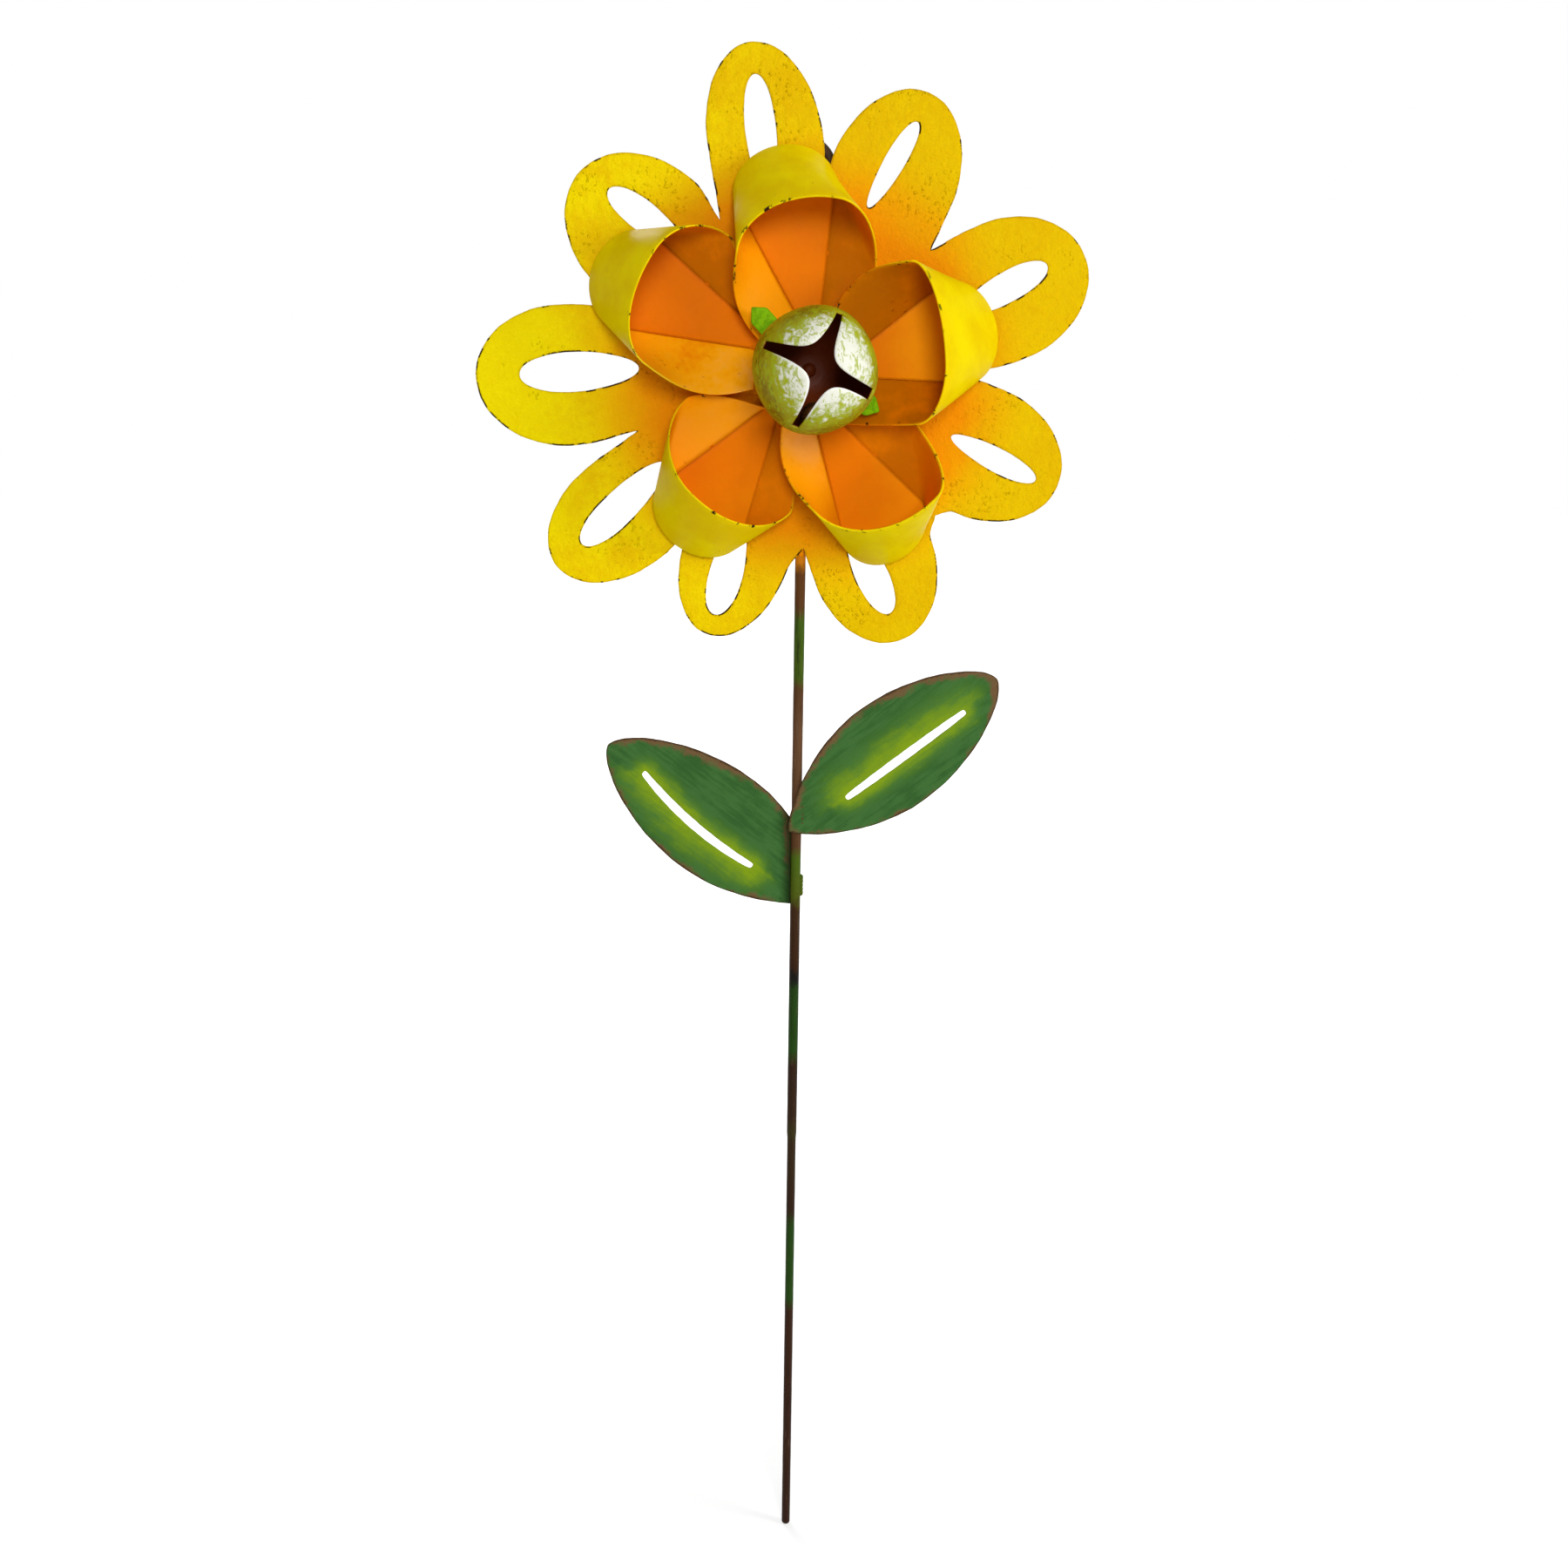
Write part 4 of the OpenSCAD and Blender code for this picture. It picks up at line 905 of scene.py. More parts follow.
def ribbonBase(loop, t):
    sign, arc, leg = ribbonPlace(t)
    root, end, narrow = ribbon["rootRadius"] * loop["endReach"], ribbon["baseEnd"], ribbon["rootHalf"]
    shoulder = ribbon["baseReach"] * loop["baseReach"] - root - end
    half = narrow + shoulder * math.tan(math.radians(loop["spread"]))
    u = np.where(leg > 0, shoulder * (1 - leg), shoulder + end * np.sin(arc))
    v = np.where(leg > 0, half + (narrow - half) * leg, half * np.cos(arc))
    return polar(root, loop["endWay"]) + turned(np.stack([u, v * sign], -1), loop["baseWay"])


def ribbonRim(loop, t):
    sign, arc, leg = ribbonPlace(t)
    lie = np.where(t < 0, *loop["lie"])
    half = ribbon["halfWidth"] * np.where(t < 0, *loop["half"])
    middle, reach = ribbon["middle"] * loop["middle"], ribbon["reach"] * loop["reach"]
    side = np.where(lie == 1, *ribbon["sideHeights"])
    rootHeight = np.where(lie == 1, *ribbon["rootHeights"])
    way = loop["baseWay"] + sign * np.where(t < 0, *loop["rimSpread"])
    under = ribbonBase(loop, -sign) + polar(ribbon["rootLean"], way)
    root = turned(np.where((lie == 1)[..., None], polar(ribbon["rimRoot"], way), under), -loop["rimWay"])
    bend = np.array(ribbon["sideBends"])[lie]
    u = middle + (reach - middle) * np.sin(arc) + (root[..., 0] - middle) * leg
    v = sign * half * np.cos(arc) + (root[..., 1] - sign * half) * leg ** bend
    h = side + (ribbon["endHeight"] - side) * np.sin(arc) ** 2 + (rootHeight - side) * np.sin(leg * math.pi / 2)
    h = h + ribbon["uneven"] * wobble(t * 9, loop["rimWay"]) * np.cos(t * math.pi / 2)
    return turned(np.stack([u, v], -1), loop["rimWay"]), h


def ribbonHeart(loop):
    return turned([ribbon["middle"] * loop["middle"], 0], loop["rimWay"])


def ribbonSheet(loop, t, s, back):
    # t runs from end to end along the ribbon, -1 to 1, and s from its base to its rim, 0 to 1
    base = ribbonBase(loop, t)
    rim, h = ribbonRim(loop, t)
    level = (base + rim) / 2 - ribbonHeart(loop)
    level = level / np.linalg.norm(level, axis=-1, keepdims=True)
    arc = 1 - np.minimum(np.abs(t) / (1 - ribbon["legShare"]), 1)
    bulge = ribbon["belly"] * 4 * s * (1 - s) * arc
    flat = base + (rim - base) * s[..., None] + level * bulge[..., None]
    return np.stack([flat[..., 0], back - h * s, flat[..., 1] + hubZ], -1)


def makeLoop(name, loop, back):
    steps, across, probe = ribbon["steps"], ribbon["across"], ribbon["probe"]
    half = ribbon["thick"] * loop["thick"] / 2
    lip = half * ribbon["lip"]

    def sheet(t, s):
        return ribbonSheet(loop, t, s, back)

    arms, span = np.linspace(-1, 1, steps + 1), np.linspace(0, 1, across + 1)
    t, s = np.meshgrid(arms, span, indexing="ij")
    width = np.linalg.norm(sheet(t, np.ones_like(s)) - sheet(t, np.zeros_like(s)), axis=-1)
    trim = lip / np.maximum(width, 1)
    s = trim + s * (1 - 2 * trim)
    middle = sheet(t, s)
    along = sheet(np.minimum(t + probe, 1), s) - sheet(np.maximum(t - probe, -1), s)
    up = sheet(t, np.minimum(s + probe, 1)) - sheet(t, np.maximum(s - probe, 0))
    normal = np.cross(along, up)
    normal /= np.linalg.norm(normal, axis=-1, keepdims=True)
    up /= np.linalg.norm(up, axis=-1, keepdims=True)
    heart = ribbonHeart(loop)
    centre = steps // 2, across // 2
    inward = np.array([heart[0], back - ribbon["heartDepth"], heart[1] + hubZ]) - middle[centre]
    if np.dot(normal[centre], inward) > 0:
        normal = -normal  # now it points out of the loop
    curl = np.radians(ribbon["curl"])
    bends = len(curl)
    rings, rim = [], []
    for m, n, u, wide in zip(middle, normal, up, width[:, 0]):
        rolled = [m[-1] + u[-1] * lip * math.cos(c) + n[-1] * half * math.sin(c) for c in curl]
        hem = [m[0] - u[0] * lip * math.cos(c) + n[0] * half * math.sin(c) for c in -curl]
        rings.append(np.concatenate([m + n * half, rolled, (m - n * half)[::-1], hem]))
        deep = (1 - span) * wide
        rim.append(np.concatenate([deep, np.zeros(bends), deep[::-1], np.full(bends, farFromEdge)]))
    count = len(rings[0])
    faces = tubeFaces(steps + 1, count)
    foot = 2 * across + bends + 1  # the inside's point at the base
    for first in (0, steps * count):  # the sawn ends by the hub
        faces += [(first + k, first + k + 1, first + foot - 1 - k, first + foot - k) for k in range(across)]
        faces.append(tuple(range(first + across, first + across + bends + 2)))
        faces.append((*range(first + foot, first + count), first))
    spray = np.concatenate([np.zeros(across + 1), ribbon["lipSpray"], np.ones(across + 1), ribbon["hemSpray"]])
    marks = {"inside": np.tile(spray, steps + 1), "rim": np.concatenate(rim)}
    for key in ("dull", "amber", "gloss"):
        share = np.where(arms < 0, *loop[key]) * np.clip(np.abs(arms) * 4 - 1, 0, 1)
        marks[key] = np.repeat(share, count) * marks["inside"]
    addPiece("ribbonLoop_" + name, np.concatenate(rings), faces, loopCoat, "spinner", ["loop_petal_" + name],
             marks, ribbon["crease"])


starBack, starFront = station("star_plate")
for loopName, loopShape in loops.items():
    makeLoop(loopName, loopShape, starBack + ribbon["drop"])
print("ribbon loops bent")

star = {
    "radius": 15, "foot": 11, "foothold": 0.8, "short": 5, "tipShare": 0.5, "bore": 3.57, "rounding": 0.12,
    "tenon": 1.27, "span": 0.98, "steps": 130, "notchSteps": 14, "grid": 3.6, "rows": cutting["rows"],
}
strap = {
    "width": 9, "reach": 34.5, "middle": 7, "ways": (134, -28.5), "postRing": 11.5, "bore": 1.52, "rounding": 0.35,
    "cornerRound": 0.9, "cornerSteps": 5, "cornerLead": 2, "steps": 16, "grid": 2.4, "rows": (0.8, 1.7),
    "holeSteps": 24,
}


def starOutline():
    # each tongue runs out to the feet of its ribbon and stays short of the ribbon's end
    ring, order = [], sorted(loops.values(), key=lambda loop: loop["baseWay"])
    t = np.linspace(star["span"], -star["span"], star["steps"])
    drop = ribbon["drop"] + starBack - starFront
    for i, loop in enumerate(order):
        sheet = ribbonSheet(loop, t, drop / ribbonRim(loop, t)[1], 0)
        base = ribbonBase(loop, t)
        step = np.stack([sheet[:, 0], sheet[:, 2] - hubZ], 1) - base
        edge = base + step * np.minimum(star["foothold"] / np.linalg.norm(step, axis=1), 1)[:, None]
        short = star["short"] * np.cos(np.clip(t / star["tipShare"], -1, 1) * math.pi / 2) ** 2
        ring.append(edge - polar(1, loop["baseWay"]) * short[:, None])
        following = order[(i + 1) % len(order)]
        begin = loop["endWay"] + star["foot"]
        end = following["endWay"] - star["foot"] + (360 if i == len(order) - 1 else 0)
        ring.append(polar(star["radius"], np.linspace(begin, end, star["notchSteps"])[1:-1]))
    return np.concatenate(ring)


def postHoles():
    return [roundHole(star["tenon"], polar(strap["postRing"], way), strap["holeSteps"]) for way in strap["ways"]]


def makePlate(name, node, outline, holes, look, coat):
    # a flat plate of the turning flower
    back, front = station(node)
    flat, high, marks, faces = cutSheet(outline, holes, back - front, look["rounding"], look["grid"], look["rows"])
    addPiece(name, standUp(flat, (back + front) / 2 - high), faces, coat, "spinner", [node], marks)


starHoles = [roundHole(star["bore"])] + postHoles()
makePlate("tonguedStar", "star_plate", starOutline(), starHoles, star, orangeCoat)


def softCorners(corners, reach, steps):
    corners = np.asarray(corners, float)
    ring = []
    for before, at, after in zip(np.roll(corners, 1, 0), corners, np.roll(corners, -1, 0)):
        a = at + (before - at) / np.linalg.norm(before - at) * reach
        b = at + (after - at) / np.linalg.norm(after - at) * reach
        for t in np.linspace(0, 1, steps):
            ring.append((1 - t) ** 2 * a + 2 * t * (1 - t) * at + t * t * b)
    return np.array(ring)


def strapOutline():
    half, reach, steps = strap["width"] / 2, strap["reach"], strap["steps"]
    start = math.sqrt(strap["middle"] ** 2 - half ** 2)
    shoulder = reach - half
    corners = [[shoulder, -half], [reach, 0], [shoulder, half], [start, half], [start, -half]]
    nose = softCorners(corners, strap["cornerRound"], strap["cornerSteps"])[:3 * strap["cornerSteps"]]
    leg = np.linspace(start, shoulder - strap["cornerLead"], steps)
    first, last = (np.stack([leg, np.full(steps, side)], 1) for side in (-half, half))
    arm = np.concatenate([first, nose, last[::-1]])
    ring, ways = [], sorted(w % 360 for w in strap["ways"])
    spread = math.degrees(math.atan2(half, start))
    for i, way in enumerate(ways):
        ring.append(turned(arm, way))
        following = ways[(i + 1) % 2] + (360 if i == 1 else 0)
        ring.append(polar(strap["middle"], np.linspace(way + spread, following - spread, steps)[1:-1]))
    return np.concatenate(ring)


strapHoles = [roundHole(strap["bore"], steps=strap["holeSteps"])] + postHoles()
makePlate("bellStrap", "bell_strap", strapOutline(), strapHoles, strap, strapCoat)
print("star and strap cut")

bell = {
    "radius": 25.5, "wall": 1.0, "seat": 6.0, "seatRing": 4.0, "bore": 1.52, "flat": 0.8, "dent": 0.06,
    "mouthTurn": 69, "mouthMargin": 1.5, "mouthHalf": 1.6, "lobeTip": 7.9, "lobeSteps": 52,
    # each arm's direction and width, and the lobe that follows it
    "arms": ((0, 0.73), (86.8, 1.02), (179.4, 0.93), (268.2, 1.46)),
    "lobes": ((44, 1.39), (136.3, 0.742), (231, 1.01), (325.2, 0.857)),
    "curl": 0.45, "curlReach": 2.4, "rounding": 0.3, "seamGap": 0.02, "rimSteps": 200, "grid": 1.5,
    "rows": (0.6, 1.3, 2.1), "rearSides": 120, "rearRows": 36,
}
bellY = station("bell_front_shell")[0]
bellCoat = makeBellCoat(bellY)


def mouthOutline():
    reach = bell["radius"] - bell["mouthMargin"]
    steps = np.arange(bell["lobeSteps"] + 1) / bell["lobeSteps"]

    def corner(arm, side):
        return turned([reach, side * bell["mouthHalf"] * arm[1]], arm[0] + bell["mouthTurn"])

    ring = []
    for i, (arm, lobe) in enumerate(zip(bell["arms"], bell["lobes"])):
        start, end = corner(arm, 1), corner(bell["arms"][(i + 1) % 4], -1)
        tip = polar(bell["lobeTip"] * lobe[1], lobe[0] + bell["mouthTurn"])
        pull = (8 * tip - start - end) / 6
        ring.append(bezier(start, pull, pull, end, steps))
        following = corner(bell["arms"][(i + 1) % 4], 1)
        ring.append(end + (following - end) * np.array([[0.33], [0.67]]))
    ring = np.concatenate(ring)
    # rolled out flat from the pole of the shell
    far = np.linalg.norm(ring, axis=1, keepdims=True)
    return ring / far * np.arcsin(np.minimum(far / bell["radius"], 0.999)) * bell["radius"]


def pressed(angle, lean):
    # the shells are pressed a little flat between the mouth's arms; lean is 90 at the seam
    between = (1 - np.cos(np.radians(4 * (angle - bell["mouthTurn"])))) / 2
    return bell["flat"] * between * np.sin(np.radians(lean)) ** 2


def makeBellFront():
    radius, wall = bell["radius"], bell["wall"]
    outline = roundHole(radius * math.pi / 2 - bell["seamGap"], steps=bell["rimSteps"])
    flat, high, marks, faces = cutSheet(outline, [mouthOutline()], wall, bell["rounding"], bell["grid"], bell["rows"])
    far = np.linalg.norm(flat, axis=1)
    lean = far / radius
    tuck = bell["curl"] * np.clip(1 - marks["cut"] / bell["curlReach"], 0, 1) ** 2
    dents = bell["dent"] * wobble(flat[:, 0] * 0.5, 1.0) * wobble(flat[:, 1] * 0.45, 2.0)
    dents = dents * np.clip(marks["rim"] / 4, 0, 1)
    r = radius - wall / 2 + high - tuck + np.minimum(dents, 0)
    r = r - pressed(np.degrees(np.arctan2(flat[:, 1], flat[:, 0])), np.degrees(lean))
    out = (r * np.sin(lean))[:, None] * flat / np.maximum(far, tiny)[:, None]
    marks["inside"] = np.clip(0.5 - high / wall * 1.6, 0, 1)
    addPiece("bellFrontShell", standUp(out, bellY - r * np.cos(lean)), faces, bellCoat, "spinner", ["bell_front_shell"],
             marks)


def makeBellRear():
    radius, wall, seat, bore, sides = (bell[key] for key in ("radius", "wall", "seat", "bore", "rearSides"))
    depth = math.sqrt(radius ** 2 - seat ** 2)
    inner = radius - wall

    def dome(size, start, end):
        return [(size * math.cos(a), size * math.sin(a)) for a in np.linspace(start, end, bell["rearRows"])]

    # the outside from the seam to the bore, with eased edges, then the inside
    rows = [(radius - 0.1, bell["seamGap"])] + dome(radius, 0.012, math.asin(depth / radius) - 0.03)
    rows += [(seat - 0.1, depth - 0.06), (seat - 0.4, depth), (bell["seatRing"], depth), (bore + 0.2, depth),
             (bore, depth - 0.2)]
    outside = len(rows)
    rows += [(bore, depth - wall), (bell["seatRing"], depth - wall)]
    rows += dome(inner, math.asin((depth - wall) / inner), 0.002)
    turn = np.degrees(fullTurn(sides))
    rows = [(r - pressed(turn, math.degrees(math.atan2(r, y))), bellY + y) for r, y in rows]
    points, faces = spin(rows, sides, True)
    inside = np.repeat((np.arange(len(rows)) >= outside).astype(float), sides)
    marks = {"inside": inside, "cut": np.full(len(points), farFromEdge)}
    addPiece("bellRearShell", onAxle(points), faces, bellCoat, "spinner", ["bell_rear_shell"], marks)


makeBellFront()
makeBellRear()
print("bell raised")

hardware = {
    "nutFlats": 7, "bore": 2.02, "bellNutFlats": 5.5, "bellBore": 1.52, "nutBevel": 0.35, "nutEase": 0.12,
    "nutChamfer": 0.32, "nutFace": 0.4, "nutRows": (0.3, 0.6), "bevelRows": (0.55, 0.42, 0.3, 0.18, 0.06, 0),
    "washer": 4.5, "washerBore": 2.05, "ring": 6.0, "ringBore": 3.57, "ringSoft": 0.12, "sides": 72,
}


def turnSteel(name, node, rows, sides, closed, body, crease=40):
    points, faces = spin(rows, sides, closed)
    addPiece(name, onAxle(points), faces, zincCoat, body, [node], crease=crease)


def makeNut(name, node, flats, bore, body):
    back, front = station(node)
    thick = back - front
    hexagon = flats / 2 / np.cos(np.radians((np.degrees(fullTurn(hardware["sides"])) % 60) - 30))
    corner = flats / 2 / math.cos(math.radians(30))
    ease, chamfer = hardware["nutEase"], hardware["nutChamfer"]
    rows = [(np.minimum(hexagon - ease, corner - hardware["nutFace"]), back)]
    for down in [ease] + [thick * k for k in hardware["nutRows"]] + [thick - k for k in hardware["bevelRows"]]:
        rows.append((np.minimum(hexagon, corner + thick - hardware["nutBevel"] - down), back - down))
    rows += [(bore + chamfer, front), (bore, front + chamfer), (bore, back - chamfer), (bore + chamfer, back)]
    turnSteel(name, node, rows, hardware["sides"], True, body, 28)


def makeRing(name, node, outer, bore, body):
    back, front = station(node)
    soft = hardware["ringSoft"]
    slight = soft * 0.3
    rows = [(bore, back - soft), (bore + soft, back), (outer - soft, back), (outer - slight, back - slight),
            (outer, back - soft), (outer, front + soft), (outer - slight, front + slight), (outer - soft, front),
            (bore + soft, front), (bore, front + soft)]
    turnSteel(name, node, rows, hardware["sides"], True, body)


axle = {
    "radius": 2.0, "threaded": 4.0, "plain": 0.7, "pitch": 0.7, "sides": 48,
    "groove": ((0.02, 0.15), (0.28, 0.5), (0.02, 0.85)),  # depth, and share of the pitch
    "tip": ((0.05, 0.55), (0.5, 0.05), (0.62, 0)),  # cut back, and distance from the end
}


def makeAxle():
    back, front = station("axle_stud")
    r, pitch = axle["radius"], axle["pitch"]
    threadStart = front + axle["threaded"]
    rows = [(0, back), (r, back), (r, threadStart)]
    for i in range(int((axle["threaded"] - axle["plain"]) / pitch)):  # turned grooves of the thread
        rows += [(r - deep, threadStart - i * pitch - pitch * share) for deep, share in axle["groove"]]
    rows += [(r - cut, front + rise) for cut, rise in axle["tip"]] + [(0, front)]
    turnSteel("threadedAxle", "axle_stud", rows, axle["sides"], False, "stand", 32)


bush = {
    "bore": 2.05, "flange": 6.0, "neck": 3.55, "boreEase": 0.2, "backEase": 0.15, "frontEase": 0.12, "neckEase": 0.25,
}


def makeBush():
    back, front = station("hub_bush")
    bore, flange, neck = bush["bore"], bush["flange"], bush["neck"]
    rows = [(bore, back - bush["boreEase"]), (bore + bush["boreEase"], back), (flange - bush["backEase"], back),
            (flange, back - bush["backEase"]), (flange, starBack + bush["frontEase"]),
            (flange - bush["frontEase"], starBack), (neck, starBack), (neck, front + bush["neckEase"]),
            (neck - bush["neckEase"], front), (bore + bush["boreEase"], front), (bore, front + bush["boreEase"])]
    turnSteel("hubBush", "hub_bush", rows, hardware["sides"], True, "spinner", 32)


post = {
    "radius": 2.0, "tenon": 1.25, "rivet": 2.2, "rivetHigh": 0.7, "rivetRows": (20, 40, 60, 78, 90), "ease": 0.12,
    "sides": 40,
}


def makePosts():
    strapBack, strapFront = station("bell_strap")
    high, radius, tenon, ease = post["rivetHigh"], post["radius"], post["tenon"], post["ease"]
    dome = [(math.sin(a) * post["rivet"], high * math.cos(a)) for a in np.radians(post["rivetRows"])]
    rows = [(0, starBack + high)] + [(r, starBack + h) for r, h in dome]
    rows += [(tenon, starBack), (tenon, starFront), (radius - ease, starFront), (radius, starFront - ease),
             (radius, strapBack + ease), (radius - ease, strapBack), (tenon, strapBack), (tenon, strapFront)]
    rows += [(r, strapFront - h) for r, h in dome[::-1]] + [(0, strapFront - high)]
    points, faces = spin(rows, post["sides"], False)
    points, faces = join([(onAxle(points, polar(strap["postRing"], way)), faces) for way in strap["ways"]])
    addPiece("rivetedPosts", points, faces, zincCoat, "spinner", ["strap_posts"], crease=35)


bellScrew = {
    "radius": 1.5, "head": 2.9, "point": 0.3, "headEase": 0.1, "headSide": 0.2, "headRows": (12, 28, 46, 64, 80),
    "sides": 48,
}


def makeBellScrew():
    back, front = station("bell_screw")
    headBack = station("bell_strap")[1] - bell["wall"]
    r, wide, side = bellScrew["radius"], bellScrew["head"], bellScrew["headSide"]
    rows = [(0, back), (r - bellScrew["point"], back), (r, back - bellScrew["point"]), (r, headBack),
            (wide - bellScrew["headEase"], headBack), (wide, headBack - side)]
    rows += [(wide * math.cos(a), headBack - side - (headBack - front - side) * math.sin(a))
             for a in np.radians(bellScrew["headRows"])]
    points, faces = spin(rows + [(0, front)], bellScrew["sides"], False)
    # sprayed with the bell's inside
    marks = {"inside": np.ones(len(points)), "cut": np.full(len(points), farFromEdge)}
    addPiece("bellScrew", onAxle(points), faces, bellCoat, "spinner", ["bell_screw"], marks, 32)


makeAxle()
makeNut("plateNut", "plate_nut", hardware["nutFlats"], hardware["bore"], "stand")
makeNut("lockNut", "lock_nut", hardware["nutFlats"], hardware["bore"], "stand")
makeNut("bellNut", "bell_nut", hardware["bellNutFlats"], hardware["bellBore"], "spinner")
makeRing("rearWasher", "rear_washer", hardware["washer"], hardware["washerBore"], "stand")
makeRing("frontWasher", "front_washer", hardware["washer"], hardware["washerBore"], "stand")
makeBush()
makeRing("hubRing", "hub_ring", hardware["ring"], hardware["ringBore"], "spinner")
makePosts()
makeBellScrew()
print("hardware turned")

pellet = {"radius": 6.0, "seam": 0.1, "seamWidth": 3, "dent": 0.12, "poleCut": 0.975, "sides": 64, "rows": 44}


def makePellet():
    low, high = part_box("bell_pellet")
    r, sides = pellet["radius"], pellet["sides"]
    rows = [(0, r)]
    for lean in np.linspace(4, 176, pellet["rows"]):
        seam = pellet["seam"] * (math.exp(-((lean - 90) / pellet["seamWidth"]) ** 2) - 1)
        dents = 0.6 + 0.4 * wobble(fullTurn(sides) * 3 + lean * 0.07, 0.9) * wobble(lean * 0.11, 0.3)
        size = r - pellet["dent"] * dents + seam
        rows.append((size * math.sin(math.radians(lean)), size.mean() * math.cos(math.radians(lean))))
    points, faces = spin(rows + [(0, -r)], sides, False)
    points[[0, -1], 2] *= pellet["poleCut"]
    points += np.array((low + high) / 2) / mm
    addPiece("castPellet", points, faces, brassCoat, "pellet", ["bell_pellet"])


makePellet()

leaves = {
    "halfWidth": 26.5, "fullness": 0.75, "tipFullness": 0.6, "slitWidth": 4, "slitMargin": 21, "slitLength": 66,
    "slitEnd": 0.6, "slitUneven": 0.05, "slitSteps": 60, "capAngles": np.linspace(90, -90, 7)[1:-1], "steps": 70,
    "uneven": 0.3, "rounding": 0.34, "trim": -2.32, "trimStep": 1.4, "grid": 3.2, "glowSides": (0.75, 1.35),
    "rustReach": 16, "rustFrom": 0.86, "rustOver": 0.12, "noRoot": 30.0,
}
# the slit runs from its first offset to its second and bows by its third; rusty gives the side and the tip's share
leafLeft = {"length": 125, "base": (13.5, -240), "way": 142.5, "slit": (0.255, 0.04, 0.118), "rusty": (-1, 0.2)}
leafRight = {"length": 118, "base": (-4, -205), "way": 37, "slit": (-0.137, -0.137, 0), "rusty": (1, 1.0)}


def leafOutline(length):
    t = (1 - np.cos(np.linspace(0, math.pi, leaves["steps"]))) / 2
    full = np.where(t < 0.5, leaves["fullness"], leaves["tipFullness"])
    half = leaves["halfWidth"] * np.maximum(np.sin(math.pi * t), 0) ** full
    ring = np.concatenate([np.stack([length * t, -half], 1), np.stack([length * t, half], 1)[-2:0:-1]])
    return ragged(ring, 0.3, 2.4, leaves["uneven"])


def slitOutline(length, slit):
    t = np.linspace(0, 1, leaves["slitSteps"])
    first, last, bow = slit
    middle = leaves["halfWidth"] * (first + (last - first) * t + bow * 4 * t * (1 - t))
    half = leaves["slitWidth"] / 2 * (leaves["slitEnd"] + (1 - leaves["slitEnd"]) * np.sqrt(np.sin(math.pi * t)))
    half = half * (1 + leaves["slitUneven"] * wobble(t * 40, length))
    x = length - leaves["slitMargin"] - leaves["slitLength"] * (1 - t)
    cap = np.radians(leaves["capAngles"])
    end = np.stack([x[-1] + half[-1] * 0.5 * np.cos(cap), middle[-1] + half[-1] * np.sin(cap)], 1)
    head = np.stack([x[0] - half[0] * 0.5 * np.cos(cap), middle[0] - half[0] * np.sin(cap)], 1)
    return np.concatenate([np.stack([x, middle + half], 1), end, np.stack([x, middle - half], 1)[::-1], head])


def trimTo(ring, limit):
    # keeps the part left of the rod, with an even row of points on the cut
    kept = []
    for a, b in zip(ring, np.roll(ring, -1, 0)):
        if a[0] <= limit:
            kept.append(a)
        if (a[0] <= limit) != (b[0] <= limit):
            kept.append(a + (b - a) * (limit - a[0]) / (b[0] - a[0]))
    kept = np.array(kept)
    full = []
    for a, b in zip(kept, np.roll(kept, -1, 0)):
        gap = np.linalg.norm(b - a)
        parts = max(int(gap / leaves["trimStep"]), 1)
        if gap > 0.05:
            full += [a + (b - a) * k / parts for k in range(parts)]
    return np.array(full)


def makeLeaf(name, node, shape, trim):
    back, front = station(node)
    outline = turned(leafOutline(shape["length"]), shape["way"]) + shape["base"]
    if trim:
        outline = trimTo(outline, leaves["trim"])
    slit = turned(slitOutline(shape["length"], shape["slit"]), shape["way"]) + shape["base"]
    flat, high, marks, faces = cutSheet(outline, [slit], back - front, leaves["rounding"], leaves["grid"])
    own = turned(flat - shape["base"], -shape["way"])
    edgeSide, tipRust = shape["rusty"]
    tip = np.clip((own[:, 0] / shape["length"] - leaves["rustFrom"]) / leaves["rustOver"], 0, 1)
    marks["rusty"] = np.clip(own[:, 1] * edgeSide / leaves["rustReach"], 0, 1) * 0.5 + tip * tipRust
    # the glow along the slit spreads further to one side
    above = own[:, 1] > leaves["halfWidth"] * np.mean(shape["slit"][:2])
    marks["cut"] *= np.where(above, *leaves["glowSides"])
    marks["root"] = np.abs(flat[:, 0] - leaves["trim"]) if trim else np.full(len(flat), leaves["noRoot"])
    points = standUp(flat, (back + front) / 2 - high)
    coat = makeLeafCoat(name + "Paint", shape["way"])
    addPiece(name, points, faces, coat, "stand", [node], marks)


makeLeaf("slitLeafLeft", "leaf_left", leafLeft, True)
makeLeaf("slitLeafRight", "leaf_right", leafRight, False)
print("leaves cut")

weld = {
    "radius": 1.3, "ripple": 0.1, "pace": 3.4, "short": 4, "middle": 8, "long": 16, "dot": 0.02,
    "cap": (20, 42, 64, 82), "sides": 24, "leafSide": -2.55, "petalDots": (0.98, 0.75),
}


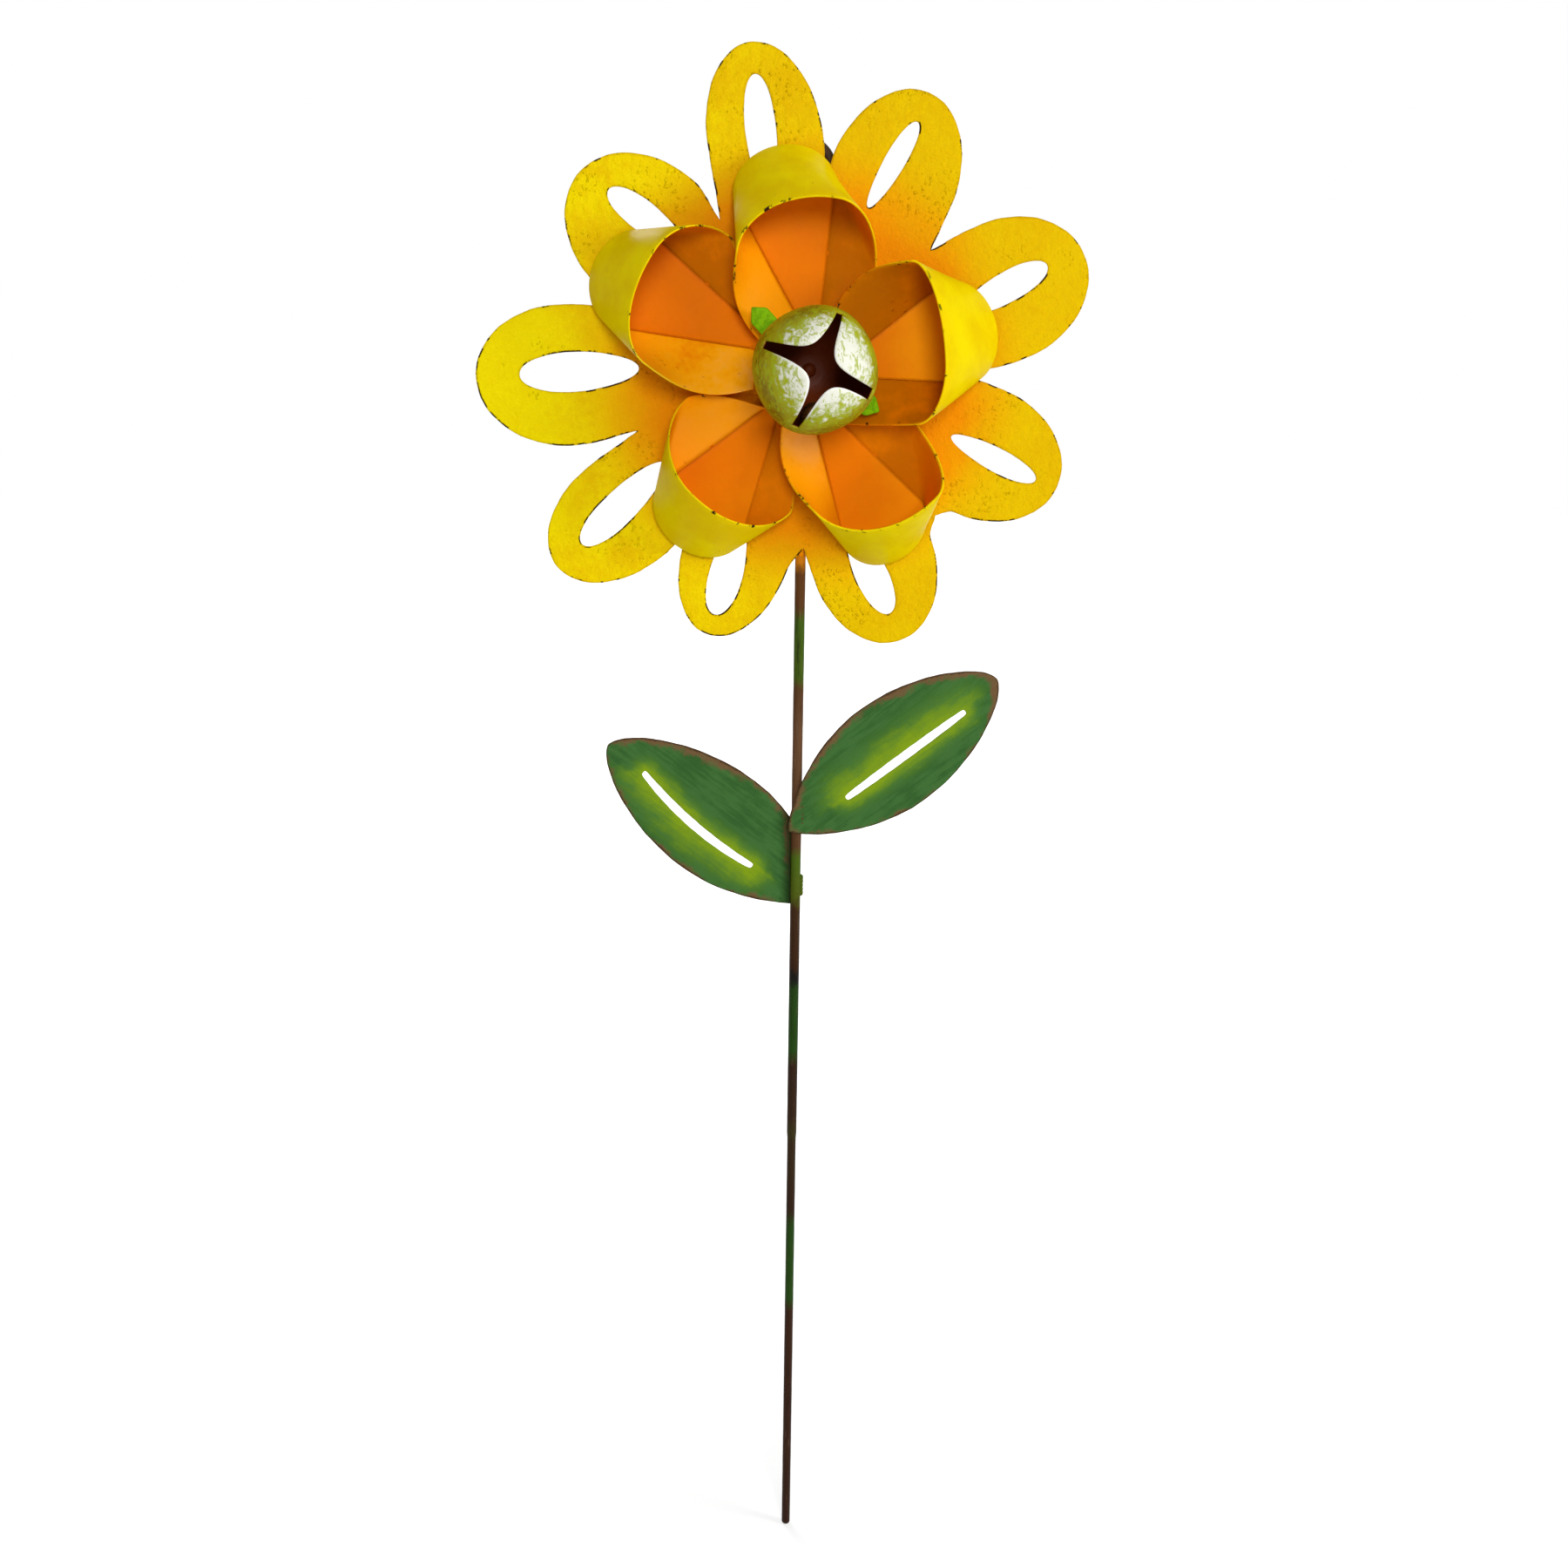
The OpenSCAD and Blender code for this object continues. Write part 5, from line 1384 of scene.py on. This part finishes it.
def bead(place, length, seed):
    # ripples of a weld laid along z
    r, half, ripple = weld["radius"], length / 2, weld["ripple"] / 2
    turn = fullTurn(weld["sides"])

    def capRow(angle, shift):
        lean = math.radians(angle)
        return r * math.sin(lean) * (0.95 + 0.05 * wobble(turn * 2, shift)), half + r * math.cos(lean)

    rows = [(0, half + r)] + [capRow(a, seed + a) for a in weld["cap"]]
    for z in np.linspace(half, -half, max(int(length * 2.4), 2)):
        waver = ripple * (math.cos(z * weld["pace"]) - 1) + 0.04 * wobble(turn * 2 + z, seed)
        rows.append((r * (0.94 + waver), z))
    rows += [(wide, -z) for wide, z in (capRow(a, seed - a) for a in weld["cap"][::-1])]
    points, faces = spin(rows + [(0, -half - r)], weld["sides"], False)
    return points + np.asarray(place, float), faces


def layWelds(name, node, beads, coat, body):
    points, faces = join(beads)
    addPiece(name, points, faces, coat, body, [node], {"rim": np.full(len(points), farFromEdge)})


def makeWelds():
    r, dot, middle, rod = weld["radius"], weld["dot"], weld["middle"], stem["radius"]
    y = station("back_flower")[0] + r / 2
    notch = hubZ - backFlower["notch"] * backFlower["petals"][6][3]  # the notch over the rod
    low = scroll["radius"] - (scroll["wire"] + scroll["gap"]) * 0.75  # the scroll's lowest place
    layWelds("plateWelds", "plate_welds", [
        bead((0, y, notch), weld["short"], 1),
        bead((0, y, hubZ + (scroll["rise"] - scroll["lead"]) / 2), middle, 2),
        bead((0, y, hubZ + scroll["rise"] - low), dot, 3),
    ], orangeCoat, "stand")
    places = [ribbonBase(loop, np.array(side * along))
              for loop in loops.values() for side in (-1, 1) for along in weld["petalDots"]]
    layWelds("petalWelds", "petal_welds", [bead((x, starBack + r / 2, hubZ + z), dot, x) for x, z in places],
             orangeCoat, "spinner")
    left, right = hubZ + leafLeft["base"][1], hubZ + leafRight["base"][1]
    layWelds("leafWelds", "leaf_welds", [
        bead((weld["leafSide"], r, left + weld["long"] / 2), weld["long"], 4),
        bead((rod, 0, left + middle), middle, 5),
        bead((rod, -rod, right + middle), middle, 6),
    ], stemCoat, "stand")


makeWelds()
print("welds laid")

studio = {
    "camera": (-70, -693, 360), "yaw": 5.28, "pitch": -14.751, "roll": 0.755, "focal": 1805, "frame": 1800,
    "sensor": 36, "aim": (0, -0.03, 0.28), "floorSize": 12.0, "floorGap": 0.0004, "floorPale": 0.8, "floorGlow": 0.5,
    "floorMottle": (0.985, 0.985, 0.98), "floorCloud": (180, 2, 0.5), "floorFade": (40, 700), "ambient": 0.24,
    "key": {"place": (0.05, -2.2, 0.95), "size": 0.9, "power": 26.0},
    "side": {"place": (2.0, -0.95, 0.75), "size": 0.8, "power": 20.0},
    "back": {"place": (-0.9, 2.0, 1.3), "size": 1.4, "power": 16.0},
}


def makeCamera():
    yaw, pitch, roll = (math.radians(studio[k]) for k in ("yaw", "pitch", "roll"))
    ahead = Vector((math.sin(yaw) * math.cos(pitch), math.cos(yaw) * math.cos(pitch), math.sin(pitch)))
    right = Vector((math.cos(yaw), -math.sin(yaw), 0))
    up = right.cross(ahead)
    side = right * math.cos(roll) + up * math.sin(roll)
    top = up * math.cos(roll) - right * math.sin(roll)
    lens = bpy.data.cameras.new("studioCamera")
    lens.sensor_width = studio["sensor"]
    lens.lens = studio["sensor"] * studio["focal"] / studio["frame"]
    lens.clip_start, lens.clip_end = 0.01, 100
    camera = bpy.data.objects.new("studioCamera", lens)
    bpy.context.scene.collection.objects.link(camera)
    turn = Matrix((side, top, -ahead)).transposed().to_4x4()
    camera.matrix_world = Matrix.Translation(Vector(studio["camera"]) * mm) @ turn
    bpy.context.scene.camera = camera


def makeLamp(name, look):
    data = bpy.data.lights.new(name, "AREA")
    data.shape = "DISK"
    data.size = look["size"]
    data.energy = look["power"]
    lamp = bpy.data.objects.new(name, data)
    bpy.context.scene.collection.objects.link(lamp)
    lamp.location = look["place"]
    aim = Vector(studio["aim"]) - Vector(look["place"])
    lamp.rotation_mode = "QUATERNION"
    lamp.rotation_quaternion = aim.to_track_quat("-Z", "Y")


def seen(coat):
    # 1 for what the camera, a reflection or a glass shows
    rays = coat.node("LightPath", out="Is Camera Ray")
    outs = rays.socket.node.outputs
    return coat.most(coat.most(rays, Tone(coat, outs["Is Glossy Ray"])), Tone(coat, outs["Is Transmission Ray"]))


def makeFloor():
    coat = Coat("paleFloor")
    pale = studio["floorPale"]
    cloud = coat.grain(*studio["floorCloud"])
    mottled = tuple(pale * share for share in studio["floorMottle"]) + (1,)
    shade = coat.mix(coat.fade(cloud, 0.3, 0.7), (pale, pale, pale, 1), mottled)
    # further out the lamps reach less, so the floor itself stays white
    across, deep, _ = coat.axes(coat.place())
    far = coat.fade((across * across + deep * deep) ** 0.5, *studio["floorFade"])
    lit = seen(coat) * (far * (1 - studio["floorGlow"]) + studio["floorGlow"])
    white = coat.mix(lit, (0, 0, 0, 1), (1, 1, 1, 1))
    surface = coat.done({"Base Color": shade, "Roughness": 1.0, "Specular IOR Level": 0.0,
                         "Emission Color": white, "Emission Strength": 1.0})
    half = studio["floorSize"] / 2
    mesh = bpy.data.meshes.new("paleFloor")
    z = cadBox[0].z - studio["floorGap"]
    mesh.from_pydata([(-half, -half, z), (half, -half, z), (half, half, z), (-half, half, z)], [], [(0, 1, 2, 3)])
    mesh.materials.append(surface)
    floor = bpy.data.objects.new("paleFloor", mesh)
    bpy.context.scene.collection.objects.link(floor)


def makeWorld():
    coat = Coat("paleRoom", bpy.data.worlds.new("paleRoom"))
    room = coat.node("Background", None, {"Color": (1, 1, 1, 1), "Strength": studio["ambient"]})
    white = coat.node("Background", None, {"Color": (1, 1, 1, 1), "Strength": 1.0})
    shown = coat.node("MixShader", None, {0: seen(coat), 1: room, 2: white})
    bpy.context.scene.world = coat.finishWith(shown, "World")


makeCamera()
makeLamp("keyLamp", studio["key"])
makeLamp("sideLamp", studio["side"])
makeLamp("backLamp", studio["back"])
makeFloor()
makeWorld()
bpy.context.scene.view_settings.view_transform = "Standard"
